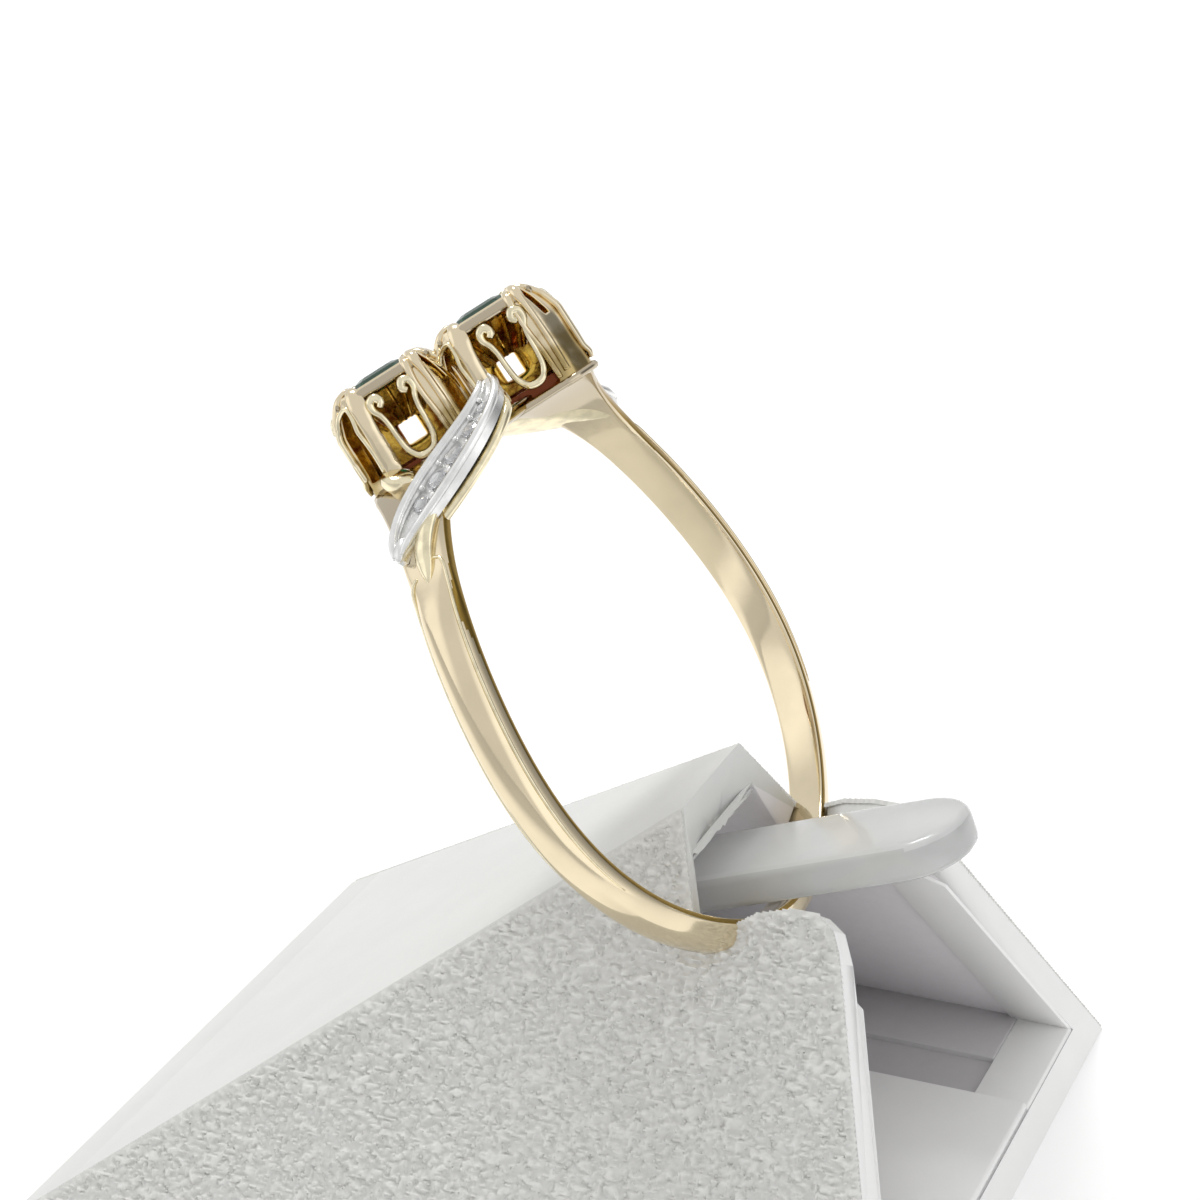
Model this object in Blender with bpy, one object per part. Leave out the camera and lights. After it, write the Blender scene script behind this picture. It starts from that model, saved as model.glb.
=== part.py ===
"""A two-stone emerald ring standing in a small covered display stand.

World frame: X from the stand's sloped front to its open back, Y across it, Z up, metres.
Ring frame: X along the finger hole, Y across it, Z from the hole's centre to the heads.
The left half of the ring is modelled, and half a turn about the ring's Z gives the right half.
"""

import math

import bmesh
import bpy
from mathutils import Matrix, Vector

MM = 0.001

# Stand
BASE_DEPTH = 29.26 * MM
BASE_HALF_WIDTH = 11.5 * MM
RIDGE_RUN = 19.68 * MM
RIDGE_HEIGHT = 13.7 * MM
RIDGE_HALF_WIDTH = 2.25 * MM
SHOULDER_RUN = 24.96 * MM
SHOULDER_HEIGHT = 11.85 * MM
FRONT_WALL = 1.5 * MM
SIDE_WALL = 1.2 * MM
BASE_THICKNESS = 1.2 * MM
BASE_GLUE_GAP = 0.05 * MM
NOTCH_RUN = 1.3 * MM
NOTCH_DROP = 3.3 * MM
SHOULDER_ROUND = 0.6 * MM

# How the ring stands in it
RING_SINK = 5.24 * MM
RING_SETBACK = 0.18 * MM
RING_LEAN = math.radians(34.1)
RING_YAW = math.radians(2.26)
RING_ROLL = math.radians(2.4)
SLOT_CLEARANCE = 0.1 * MM

# Holding tongue
TONGUE_HALF_WIDTH = 1.8 * MM
TONGUE_THICKNESS = 1.2 * MM
TONGUE_RISE = math.radians(20)
TONGUE_REACH = 6.8 * MM
TONGUE_CLEARANCE = 0.5 * MM
TONGUE_FOOT = 4.0 * MM
TONGUE_END_SEGMENTS = 8
GLUE_GAP = 0.3 * MM

# Band
HOLE_RADIUS = 8.5 * MM
# Out-of-round share of the hole's radius, by the number of waves round the ring
HOLE_WAVES = {2: 0.0187, 3: 0.0080, 4: -0.0027, 5: -0.0109}
BRIDGE_HEIGHT = 8.15 * MM
BAND_BOTTOM_WIDTH = 1.30 * MM
BAND_TOP_WIDTH = 1.54 * MM
BAND_EDGE = 0.3 * MM
BAND_CROWN = 0.85 * MM
SHOULDER_ANGLE = math.radians(59)
SHOULDER_TOP_ANGLE = math.radians(24)
SHOULDER_CURVE = 2.4
SHOULDER_BLEND = math.radians(12)
SHOULDER_SPREAD = 2.34 * MM
BRIDGE_EDGE = 0.5 * MM
BAND_STEPS = 96
BAND_ACROSS = 6

# Heads
HEAD_TOP = 11.44 * MM
HEAD_FOOT = 8.2 * MM
HEAD_HALF_WIDTH = 2.08 * MM
HEAD_HALF_LENGTH = 2.12 * MM
HEAD_OFFSET = 1.79 * MM
HEAD_TURN = math.radians(32.8)
HEAD_WALL = 0.4 * MM
HEAD_FLOOR = 0.55 * MM
FRONT_WINDOW_HALF_WIDTH = 0.9 * MM
BACK_WINDOW_HALF_WIDTH = 0.46 * MM
SIDE_WINDOW_HALF_WIDTH = 0.66 * MM
WINDOW_SILL = 0.62 * MM
BEZEL_BAR = 0.36 * MM
CLAW_SLOT = 0.26 * MM
CLAW_SLOT_SILL = 1.6 * MM
BACK_HOLE_RADIUS = 0.85 * MM
# Basket sections: height as a share of the head's height, half width, half length and
# cut corner as shares of the head's half width and half length
HEAD_SECTIONS = (
    {"height": 0.00, "width": 0.96, "length": 0.96, "corner": 0.33},
    {"height": 0.15, "width": 1.00, "length": 1.00, "corner": 0.33},
    {"height": 0.22, "width": 0.95, "length": 0.95, "corner": 0.31},
    {"height": 0.66, "width": 0.94, "length": 0.94, "corner": 0.31},
    {"height": 0.84, "width": 0.83, "length": 0.90, "corner": 0.25},
    {"height": 0.93, "width": 0.73, "length": 0.86, "corner": 0.16},
    {"height": 1.00, "width": 0.63, "length": 0.81, "corner": 0.09},
)

# Emeralds
STONE_GAP = 0.04 * MM
EMERALD_HALF_WIDTH = 1.08 * MM
EMERALD_HALF_LENGTH = 1.46 * MM
EMERALD_CORNER = 0.28 * MM
EMERALD_CROWN = 0.34 * MM
EMERALD_GIRDLE = 0.06 * MM
EMERALD_PAVILION = 1.5 * MM
EMERALD_SETTING_DEPTH = 0.3 * MM
# Step cuts: height above the girdle as a share of the crown or the pavilion, and size
# as a share of the girdle
CROWN_STEPS = ({"height": 0.55, "size": 0.86}, {"height": 1.0, "size": 0.66})
PAVILION_STEPS = ({"depth": 0.34, "size": 0.84}, {"depth": 0.70, "size": 0.56}, {"depth": 1.0, "size": 0.16})

# Leaves
LEAF_START_ANGLE = math.radians(-44.6)
LEAF_END_ANGLE = math.radians(-12.2)
LEAF_START_SIDE = -0.72 * MM
LEAF_SWING = 3.2 * MM
LEAF_TURN = 0.58
LEAF_EASE = 2.0
LEAF_HALF_WIDTH = 0.95 * MM
LEAF_TIP_HALF_WIDTH = 0.1 * MM
LEAF_STAND = 0.86 * MM
LEAF_LIFT = 0.58 * MM
LEAF_THICKNESS = 0.3 * MM
LEAF_RIM = 0.3 * MM
LEAF_CHANNEL = 0.14 * MM
LEAF_STEPS = 22
BACKING_THICKNESS = 0.42 * MM
BACKING_OFFSET = 0.05 * MM
SOLDER_GAP = 0.04 * MM

# Diamonds: place along the leaf as a share of its length, and heights and sizes as shares
# of each stone's own radius
DIAMOND_PLACES = (0.30, 0.41, 0.52, 0.64, 0.76)
DIAMOND_SPREAD = 0.62
DIAMOND_CROWN = 0.22
DIAMOND_GIRDLE = 0.04
DIAMOND_PAVILION = 0.5
DIAMOND_CULET = 0.06
DIAMOND_TABLE = 0.58
DIAMOND_SIDES = 12
DIAMOND_SINK = 0.05 * MM

FINISHES = {
    "yellow_gold": {"color": (0.80, 0.62, 0.30), "roughness": 0.18, "metallic": 1.0},
    "white_gold": {"color": (0.78, 0.79, 0.78), "roughness": 0.16, "metallic": 1.0},
    "emerald": {"color": (0.02, 0.22, 0.12), "roughness": 0.05, "metallic": 0.0},
    "diamond": {"color": (0.86, 0.88, 0.90), "roughness": 0.02, "metallic": 0.0},
    "stand_cover": {"color": (0.80, 0.80, 0.78), "roughness": 0.6, "metallic": 0.0},
    "clear_plastic": {"color": (0.74, 0.75, 0.75), "roughness": 0.25, "metallic": 0.0},
}

# Sizes that follow from the driving ones
FRONT_SLOPE = math.atan2(RIDGE_HEIGHT, RIDGE_RUN)
SIDE_LEAN = (BASE_HALF_WIDTH - RIDGE_HALF_WIDTH) / RIDGE_HEIGHT
HEAD_HEIGHT = HEAD_TOP - HEAD_FOOT
FRONT_X = -BASE_DEPTH / 2


def clear_scene():
    for obj in list(bpy.data.objects):
        bpy.data.objects.remove(obj, do_unlink=True)


def make_material(name):
    finish = FINISHES[name]
    material = bpy.data.materials.get(name) or bpy.data.materials.new(name)
    material.use_nodes = True
    shader = material.node_tree.nodes["Principled BSDF"]
    shader.inputs["Base Color"].default_value = (*finish["color"], 1.0)
    shader.inputs["Roughness"].default_value = finish["roughness"]
    shader.inputs["Metallic"].default_value = finish["metallic"]
    return material


def make_object(name, bm, finish, parent=None, matrix=None):
    """Turn a bmesh into an object, under a parent if one is given."""
    bmesh.ops.recalc_face_normals(bm, faces=bm.faces)
    mesh = bpy.data.meshes.new(name)
    bm.to_mesh(mesh)
    bm.free()
    mesh.materials.append(make_material(finish))
    obj = bpy.data.objects.new(name, mesh)
    bpy.context.collection.objects.link(obj)
    obj.parent = parent
    if matrix is not None:
        obj.matrix_local = matrix
    return obj


def hide_tool(obj):
    """Mark an object as a tool of a Boolean, which isn't part of the model."""
    obj.hide_render = True
    obj.display_type = "WIRE"


def combine(target, tool, operation):
    hide_tool(tool)
    modifier = target.modifiers.new(operation.lower() + "_" + tool.name, "BOOLEAN")
    modifier.operation = operation
    modifier.object = tool
    modifier.solver = "EXACT"


def loft(rings, closed=False):
    """Skin rings of points of equal number, and cap the first and the last unless closed."""
    bm = bmesh.new()
    loops = [[bm.verts.new(point) for point in ring] for ring in rings]
    count = len(loops[0])
    pairs = list(zip(loops, loops[1:]))
    if closed:
        pairs.append((loops[-1], loops[0]))
    for lower, upper in pairs:
        for i in range(count):
            j = (i + 1) % count
            bm.faces.new((lower[i], lower[j], upper[j], upper[i]))
    if not closed:
        bm.faces.new(list(reversed(loops[0])))
        bm.faces.new(loops[-1])
    return bm


def prism(outline, half_width):
    """Extrude an outline of (x, z) points across Y."""
    return loft([[Vector((x, side * half_width, z)) for x, z in outline] for side in (-1, 1)])


def octagon(half_width, half_length, corner, height):
    """A rectangle with cut corners at a height."""
    x, y = half_width, half_length
    outline = [(corner - x, -y), (x - corner, -y), (x, corner - y), (x, y - corner)]
    outline += [(x - corner, y), (corner - x, y), (-x, y - corner), (-x, corner - y)]
    return [Vector((px, py, height)) for px, py in outline]


def blend(value, start, end):
    """Ease from 0 at start to 1 at end."""
    share = min(max((value - start) / (end - start), 0.0), 1.0)
    return share * share * (3 - 2 * share)


# Stand

def side_half_width(height):
    """Half the stand's width at a height, outside."""
    return BASE_HALF_WIDTH - SIDE_LEAN * height


def front_inside(height, extra=0.0):
    """X of the front wall's inner face at a height."""
    return FRONT_X + (height + (FRONT_WALL + extra) / math.cos(FRONT_SLOPE)) / math.tan(FRONT_SLOPE)


def front_place(height):
    """Run and height of a point on the front slope."""
    return RIDGE_RUN * height / RIDGE_HEIGHT, height


def back_place(height):
    """Run and height of a point on the open back."""
    return BASE_DEPTH + (SHOULDER_RUN - BASE_DEPTH) * height / SHOULDER_HEIGHT, height


def wedge(places):
    """A solid between the two leaning sides, from an outline of runs and heights."""
    rings = []
    for side in (-1, 1):
        outline = [(FRONT_X + run, side * side_half_width(height), height) for run, height in places]
        rings.append([Vector(point) for point in outline])
    return loft(rings)


def stand_outside():
    """The folded walls, without the base that closes them below."""
    low = BASE_THICKNESS + BASE_GLUE_GAP
    ridge, shoulder = (RIDGE_RUN, RIDGE_HEIGHT), (SHOULDER_RUN, SHOULDER_HEIGHT)
    return wedge([front_place(low), ridge, shoulder, back_place(low)])


def build_base():
    low, high = 0.0, BASE_THICKNESS
    board = wedge([front_place(low), front_place(high), back_place(high), back_place(low)])
    return make_object("stand_base", board, "stand_cover")


def stand_inside():
    """The open hollow: it runs out through the back, the shoulder and the bottom."""
    wall = SIDE_WALL * math.hypot(1.0, SIDE_LEAN)
    top = (BASE_HALF_WIDTH - wall) / SIDE_LEAN - SIDE_WALL / 2
    past_back = FRONT_X + 1.4 * BASE_DEPTH
    outline = [(front_inside(0.0), 0.0), (past_back, 0.0), (past_back, top), (front_inside(top), top)]
    rings = []
    for side in (-1, 1):
        rings.append([Vector((x, side * (side_half_width(z) - wall), z)) for x, z in outline])
    return loft(rings)


def notch_outline():
    """The cut in a side wall, as (run, height up the wall) from the ridge to the shoulder."""
    up = math.hypot(1.0, SIDE_LEAN)
    ridge, shoulder = (RIDGE_RUN, RIDGE_HEIGHT), (SHOULDER_RUN, SHOULDER_HEIGHT)
    fall = ridge[1] - shoulder[1]
    valley = (ridge[0] + NOTCH_RUN, ridge[1] - NOTCH_DROP)
    corners = [
        ridge,
        valley,
        (valley[0] + 0.42 * (shoulder[0] - valley[0]), valley[1] + 0.31 * (ridge[1] - valley[1])),
        (shoulder[0] - 2.0 * SHOULDER_ROUND, shoulder[1] - 0.25 * SHOULDER_ROUND),
        (shoulder[0] - 0.8 * SHOULDER_ROUND, shoulder[1] - 0.3 * SHOULDER_ROUND),
        (shoulder[0] + 0.1 * SHOULDER_ROUND, shoulder[1] - 0.8 * SHOULDER_ROUND),
        (shoulder[0] + 0.8 * SHOULDER_ROUND, shoulder[1] - 2.0 * SHOULDER_ROUND),
        (shoulder[0] + 3 * SHOULDER_ROUND, ridge[1] + fall),
        (ridge[0], ridge[1] + fall),
    ]
    return [(FRONT_X + run, height * up) for run, height in corners]


def notch_cutter(side):
    """A prism square to one side wall, which opens the wall from the ridge to the shoulder."""
    lean = math.atan(SIDE_LEAN)
    along_wall = Vector((0.0, -side * math.sin(lean), math.cos(lean)))
    outward = Vector((0.0, side * math.cos(lean), math.sin(lean)))
    foot = Vector((0.0, side * BASE_HALF_WIDTH, 0.0))
    rings = []
    for reach in (-2.6 * SIDE_WALL, 2 * SIDE_WALL):
        start = foot + outward * reach
        rings.append([start + Vector((x, 0, 0)) + along_wall * up for x, up in notch_outline()])
    return loft(rings)


def band_slot():
    """The room that the band needs where it passes through the side walls."""
    angles = [math.pi * (2 * step / BAND_STEPS - 1) for step in range(BAND_STEPS)]
    return loft([plain_section(angle, SLOT_CLEARANCE) for angle in angles], closed=True)


def build_stand(seat):
    shell = make_object("stand_shell", stand_outside(), "stand_cover")
    combine(shell, make_object("tool_hollow", stand_inside(), "stand_cover"), "DIFFERENCE")
    for side, name in ((-1, "left"), (1, "right")):
        combine(shell, make_object("tool_notch_" + name, notch_cutter(side), "stand_cover"), "DIFFERENCE")
    combine(shell, make_object("tool_slot", band_slot(), "stand_cover", seat), "DIFFERENCE")
    return shell


def build_tongue(seat):
    """A strip from the front wall's inside, over the ring's bottom and out at the back."""
    rise = Vector((math.cos(TONGUE_RISE), 0.0, math.sin(TONGUE_RISE)))
    lift = Vector((-math.sin(TONGUE_RISE), 0.0, math.cos(TONGUE_RISE)))
    slope = Vector((math.cos(FRONT_SLOPE), 0.0, math.sin(FRONT_SLOPE)))
    slope_up = Vector((-math.sin(FRONT_SLOPE), 0.0, math.cos(FRONT_SLOPE)))
    bottom = seat.matrix_basis @ Vector((0.0, 0.0, -hole_radius(math.pi)))
    over_ring = bottom + lift * (TONGUE_CLEARANCE + TONGUE_THICKNESS / 2)
    over_ring.y = 0.0
    # Distance back along the tongue to where its middle line meets the foot's middle line
    wall_point = Vector((front_inside(0.0, GLUE_GAP + TONGUE_THICKNESS / 2), 0.0, 0.0))
    back = (over_ring - wall_point).dot(slope_up) / rise.dot(slope_up)
    bend = over_ring - rise * back
    end_start = over_ring + rise * (TONGUE_REACH - TONGUE_HALF_WIDTH)
    half = lift * TONGUE_THICKNESS / 2
    mitre = (lift + slope_up).normalized()
    mitre_half = mitre * (TONGUE_THICKNESS / 2 / mitre.dot(lift))
    stations = [(bend - slope * TONGUE_FOOT, slope_up * TONGUE_THICKNESS / 2, TONGUE_HALF_WIDTH)]
    stations.append((bend, mitre_half, TONGUE_HALF_WIDTH))
    for step in range(TONGUE_END_SEGMENTS):
        angle = step / TONGUE_END_SEGMENTS * math.pi / 2
        place = end_start + rise * TONGUE_HALF_WIDTH * math.sin(angle)
        stations.append((place, half, TONGUE_HALF_WIDTH * math.cos(angle)))
    rings = []
    for place, up, width in stations:
        across = Vector((0.0, width, 0.0))
        rings.append([place - across - up, place + across - up, place + across + up, place - across + up])
    return make_object("ring_tongue", loft(rings), "clear_plastic")


# Ring

def ring_point(angle, radius, side):
    """A point in the ring frame: angle from the heads towards +Y, radius, and place along the hole."""
    return Vector((side, radius * math.sin(angle), radius * math.cos(angle)))


def hole_radius(angle):
    radius = HOLE_RADIUS * (1 + sum(share * math.cos(waves * angle) for waves, share in HOLE_WAVES.items()))
    if math.cos(angle) > 0.5:
        radius = min(radius, BRIDGE_HEIGHT / math.cos(angle))
    return radius


def band_half_width(angle):
    share = (1 + math.cos(angle)) / 2
    return (BAND_BOTTOM_WIDTH + (BAND_TOP_WIDTH - BAND_BOTTOM_WIDTH) * share) / 2


def band_edge(angle, side):
    """Place of one edge of the band: side is -1 or 1, and each shoulder spreads most on one side."""
    plain = band_half_width(angle)
    wide_side = -1 if angle < 0 else 1
    bare = SHOULDER_ANGLE if side == wide_side else 0.6 * SHOULDER_ANGLE
    share = min(max((bare - abs(angle)) / (bare - SHOULDER_TOP_ANGLE * bare / SHOULDER_ANGLE), 0.0), 1.0)
    return side * (plain + (SHOULDER_SPREAD - plain) * share ** SHOULDER_CURVE)


def domed_section(angle, inner, low, high, edge, crown):
    """A section round the ring from low to high: inner face straight, outer face domed."""
    points = [ring_point(angle, inner, low), ring_point(angle, inner, high)]
    for step in range(BAND_ACROSS + 1):
        across = 1 - 2 * step / BAND_ACROSS
        radius = inner + edge + (crown - edge) * (1 - across * across)
        points.append(ring_point(angle, radius, (low + high) / 2 + across * (high - low) / 2))
    return points


def plain_section(angle, extra):
    """The band's own section, without the shoulders, larger by extra all round."""
    half = band_half_width(angle) + extra
    inner = hole_radius(angle) - extra
    return domed_section(angle, inner, -half, half, BAND_EDGE + 2 * extra, BAND_CROWN + 2 * extra)


def band_section(angle):
    """The band's section, domed, and nearly flat where it becomes the bridge under the heads."""
    round_share = blend(abs(angle), SHOULDER_ANGLE - SHOULDER_BLEND, SHOULDER_ANGLE)
    edge = BRIDGE_EDGE + (BAND_EDGE - BRIDGE_EDGE) * round_share
    crown = BRIDGE_EDGE + (BAND_CROWN - BRIDGE_EDGE) * round_share
    return domed_section(angle, hole_radius(angle), band_edge(angle, -1), band_edge(angle, 1), edge, crown)


def build_band(seat):
    angles = [math.pi * (2 * step / BAND_STEPS - 1) for step in range(BAND_STEPS)]
    band = loft([band_section(angle) for angle in angles], closed=True)
    return make_object("ring_body", band, "yellow_gold", seat)


def head_matrix(half):
    """Half is 0 for the left head and 1 for the right one. Both face the same way."""
    turn = Matrix.Rotation(HEAD_TURN, 4, "Z")
    return turn @ Matrix.Translation(((2 * half - 1) * HEAD_OFFSET, 0.0, 0.0))


def head_section(row, inset=0.0):
    """Half width, half length and cut corner of the basket, inside a wall if one is given."""
    width = row["width"] * HEAD_HALF_WIDTH
    length = row["length"] * HEAD_HALF_LENGTH
    corner = row["corner"] * HEAD_HALF_WIDTH
    return width - inset, length - inset, corner - inset * (2 - math.sqrt(2))


def section_height(row):
    return HEAD_FOOT + row["height"] * HEAD_HEIGHT


def head_outside():
    return loft([octagon(*head_section(row), section_height(row)) for row in HEAD_SECTIONS])


def stone_section(extra=0.0):
    return EMERALD_HALF_WIDTH + extra, EMERALD_HALF_LENGTH + extra, EMERALD_CORNER


def head_inside():
    """The basket's hollow: straight below the stone, drawn in to its girdle, open above."""
    knee = HEAD_SECTIONS[3]
    girdle = HEAD_TOP - EMERALD_SETTING_DEPTH
    rings = [
        octagon(*head_section(knee, HEAD_WALL), HEAD_FOOT + HEAD_FLOOR),
        octagon(*head_section(knee, HEAD_WALL), section_height(knee)),
        octagon(*stone_section(STONE_GAP), girdle - EMERALD_GIRDLE - STONE_GAP),
        octagon(*stone_section(STONE_GAP), HEAD_TOP + HEAD_WALL),
    ]
    return loft(rings)


def window_cutter(half_width, sill, near, far):
    """A bar with a round lower edge, from near to far along Y, which opens a side of a basket."""
    top = HEAD_TOP - BEZEL_BAR
    centre = HEAD_FOOT + sill + half_width
    outline = [(half_width, top), (-half_width, top)]
    segments = 10
    for step in range(segments + 1):
        angle = math.pi + math.pi * step / segments
        outline.append((half_width * math.cos(angle), centre + half_width * math.sin(angle)))
    return loft([[Vector((x, y, z)) for x, z in outline] for y in (near, far)])


def slot_cutter():
    """A narrow bar that parts the two claws of each corner."""
    low = HEAD_FOOT + CLAW_SLOT_SILL
    high = HEAD_TOP + HEAD_WALL
    half = CLAW_SLOT / 2
    return prism([(-half, low), (half, low), (half, high), (-half, high)], 1.2 * HEAD_HALF_LENGTH)


def back_hole_cutter():
    bm = bmesh.new()
    depth = 2 * (HEAD_FLOOR + BRIDGE_EDGE + HEAD_WALL)
    bmesh.ops.create_cone(bm, cap_ends=True, segments=16, radius1=BACK_HOLE_RADIUS,
                          radius2=BACK_HOLE_RADIUS, depth=depth)
    bmesh.ops.translate(bm, verts=bm.verts, vec=(0.0, 0.0, BRIDGE_HEIGHT))
    return bm


def head_cutters():
    """Name, shape and turn of each cut in a basket."""
    past = 1.06 * HEAD_HALF_LENGTH
    within = 0.5 * EMERALD_HALF_LENGTH
    return (
        ("inside", head_inside(), 0.0),
        ("back_hole", back_hole_cutter(), 0.0),
        ("front_window", window_cutter(FRONT_WINDOW_HALF_WIDTH, WINDOW_SILL, -past, -within), 0.0),
        ("back_window", window_cutter(BACK_WINDOW_HALF_WIDTH, 1.1 * WINDOW_SILL, within, past), 0.0),
        ("slot_1", slot_cutter(), math.pi / 4),
        ("slot_2", slot_cutter(), -math.pi / 4),
    )


def build_heads(body, seat):
    sides = ("left", "right")
    for half, side in enumerate(sides):
        basket = make_object("tool_basket_" + side, head_outside(), "yellow_gold", seat, head_matrix(half))
        combine(body, basket, "UNION")
    for half, side in enumerate(sides):
        for name, bm, turn in head_cutters():
            matrix = head_matrix(half) @ Matrix.Rotation(turn, 4, "Z")
            cutter = make_object("tool_%s_%s" % (name, side), bm, "yellow_gold", seat, matrix)
            combine(body, cutter, "DIFFERENCE")
    past = HEAD_OFFSET + 1.5 * HEAD_HALF_WIDTH
    windows = window_cutter(SIDE_WINDOW_HALF_WIDTH, 1.2 * WINDOW_SILL, -past, past)
    turn = Matrix.Rotation(HEAD_TURN + math.pi / 2, 4, "Z")
    combine(body, make_object("tool_side_windows", windows, "yellow_gold", seat, turn), "DIFFERENCE")


def build_emerald(name, seat, half):
    girdle = HEAD_TOP - EMERALD_SETTING_DEPTH
    levels = []
    for step in reversed(PAVILION_STEPS):
        levels.append((step["size"], -EMERALD_GIRDLE - step["depth"] * EMERALD_PAVILION))
    levels += [(1.0, -EMERALD_GIRDLE), (1.0, 0.0)]
    levels += [(step["size"], step["height"] * EMERALD_CROWN) for step in CROWN_STEPS]
    rings = []
    for size, height in levels:
        rings.append(octagon(*(size * length for length in stone_section()), girdle + height))
    return make_object(name, loft(rings), "emerald", seat, head_matrix(half))


# Leaves

def leaf_place(share):
    """Angle, top radius and side of the leaf's middle line at a share of its length."""
    angle = LEAF_START_ANGLE + (LEAF_END_ANGLE - LEAF_START_ANGLE) * share
    side = LEAF_START_SIDE + LEAF_SWING * math.sin(LEAF_TURN * math.pi * max(share, 0.0)) ** LEAF_EASE
    radius = HOLE_RADIUS + LEAF_STAND + LEAF_LIFT * share * share
    return angle, radius, side


def leaf_half_width(share):
    share = min(max(share, 0.0), 1.0)
    return LEAF_TIP_HALF_WIDTH + (LEAF_HALF_WIDTH - LEAF_TIP_HALF_WIDTH) * math.sin(math.pi * share)


def leaf_frame(share):
    """Top point of the middle line, the direction across the leaf and the direction out of it."""
    step = 0.01
    along = ring_point(*leaf_place(share + step)) - ring_point(*leaf_place(share - step))
    angle, radius, side = leaf_place(share)
    out = ring_point(angle, 1.0, 0.0)
    across = along.cross(out).normalized()
    return ring_point(angle, radius, side), across, out


def strip_section(share, extra, top, bottom, offset=0.0):
    """A plain strip's section: top and bottom are depths below the leaf's top face."""
    place, across, out = leaf_frame(share)
    half = leaf_half_width(share) + extra
    shape = [(-half, bottom), (half, bottom), (half, top), (-half, top)]
    return [place + across * (x + offset) - out * depth for x, depth in shape]


def leaf_section(share):
    """The leaf's section, with a shallow channel between two rims."""
    place, across, out = leaf_frame(share)
    half = leaf_half_width(share)
    inner = half * (1 - LEAF_RIM / LEAF_HALF_WIDTH)
    floor = LEAF_CHANNEL * math.sin(math.pi * (0.02 + 0.96 * share)) ** 0.5
    shape = [(-half, LEAF_THICKNESS), (half, LEAF_THICKNESS), (half, 0.0), (inner, 0.0)]
    shape += [(0.9 * inner, floor), (-0.9 * inner, floor), (-inner, 0.0), (-half, 0.0)]
    return [place + across * x - out * depth for x, depth in shape]


def leaf_shares():
    return [step / LEAF_STEPS for step in range(LEAF_STEPS + 1)]


def long_shares():
    """Shares that run a little past both ends of the leaf."""
    past = 0.5 / LEAF_STEPS
    return [-past] + leaf_shares() + [1 + past]


def half_turn(half):
    return Matrix.Rotation(half * math.pi, 4, "Z")


def diamond_radius(share):
    return leaf_half_width(share) * (1 - LEAF_RIM / LEAF_HALF_WIDTH) * DIAMOND_SPREAD - STONE_GAP


def diamond_matrix(share, half):
    place, across, out = leaf_frame(share)
    axes = Matrix((across, out.cross(across), out)).transposed().to_4x4()
    return half_turn(half) @ Matrix.Translation(place - out * DIAMOND_SINK) @ axes


def build_leaf(name, seat, half):
    strip = loft([leaf_section(share) for share in leaf_shares()])
    leaf = make_object(name, strip, "white_gold", seat, half_turn(half))
    for number, share in enumerate(DIAMOND_PLACES, 1):
        bm = bmesh.new()
        radius = diamond_radius(share) + STONE_GAP
        bmesh.ops.create_cone(bm, cap_ends=True, segments=DIAMOND_SIDES, radius1=radius,
                              radius2=radius, depth=4 * LEAF_THICKNESS)
        matrix = diamond_matrix(share, half)
        cutter = make_object("tool_%s_seat_%d" % (name, number), bm, "white_gold", seat, matrix)
        combine(leaf, cutter, "DIFFERENCE")
    return leaf


def add_backing(body, seat, half, side):
    """The gold strip under a leaf, soldered to the shoulder, which shows along one side of it."""
    top = LEAF_THICKNESS + 1.5 * SOLDER_GAP
    rings = []
    for share in leaf_shares():
        offset = BACKING_OFFSET * math.sin(math.pi * share)
        rings.append(strip_section(share, 0.0, top, top + BACKING_THICKNESS, offset))
    backing = make_object("tool_backing_" + side, loft(rings), "yellow_gold", seat, half_turn(half))
    combine(body, backing, "UNION")


def cut_leaf_seat(body, seat, half, side):
    """The room for a leaf, open above it."""
    bottom = LEAF_THICKNESS + SOLDER_GAP
    rings = [strip_section(share, SOLDER_GAP, -LEAF_THICKNESS, bottom) for share in long_shares()]
    cutter = make_object("tool_leaf_seat_" + side, loft(rings), "yellow_gold", seat, half_turn(half))
    combine(body, cutter, "DIFFERENCE")


def build_diamond(name, seat, share, half):
    """A round stone with a table, eight or more crown facets and a pavilion."""
    radius = diamond_radius(share)
    levels = (
        (DIAMOND_TABLE, DIAMOND_CROWN),
        (1.0, 0.0),
        (1.0, -DIAMOND_GIRDLE),
        (DIAMOND_CULET, -DIAMOND_PAVILION),
    )
    rings = []
    for size, height in reversed(levels):
        ring = []
        for side in range(DIAMOND_SIDES):
            angle = 2 * math.pi * (side + 0.5) / DIAMOND_SIDES
            ring.append(Vector((size * math.cos(angle), size * math.sin(angle), height)) * radius)
        rings.append(ring)
    return make_object(name, loft(rings), "diamond", seat, diamond_matrix(share, half))


def build_seat():
    """The empty that carries the ring: its Z leans forward, square to the stand's front."""
    slope = Vector((math.cos(FRONT_SLOPE), 0.0, math.sin(FRONT_SLOPE)))
    slope_up = Vector((-math.sin(FRONT_SLOPE), 0.0, math.cos(FRONT_SLOPE)))
    ridge = Vector((FRONT_X + RIDGE_RUN, 0.0, RIDGE_HEIGHT))
    centre = ridge - slope * RING_SETBACK + slope_up * (hole_radius(math.pi) + BAND_CROWN - RING_SINK)
    seat = bpy.data.objects.new("ring_seat", None)
    bpy.context.collection.objects.link(seat)
    yaw = Matrix.Rotation(RING_YAW, 4, "Z")
    lean = Matrix.Rotation(-RING_LEAN, 4, "Y")
    roll = Matrix.Rotation(-RING_ROLL, 4, "X")
    seat.matrix_basis = Matrix.Translation(centre) @ yaw @ lean @ roll
    return seat


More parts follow.
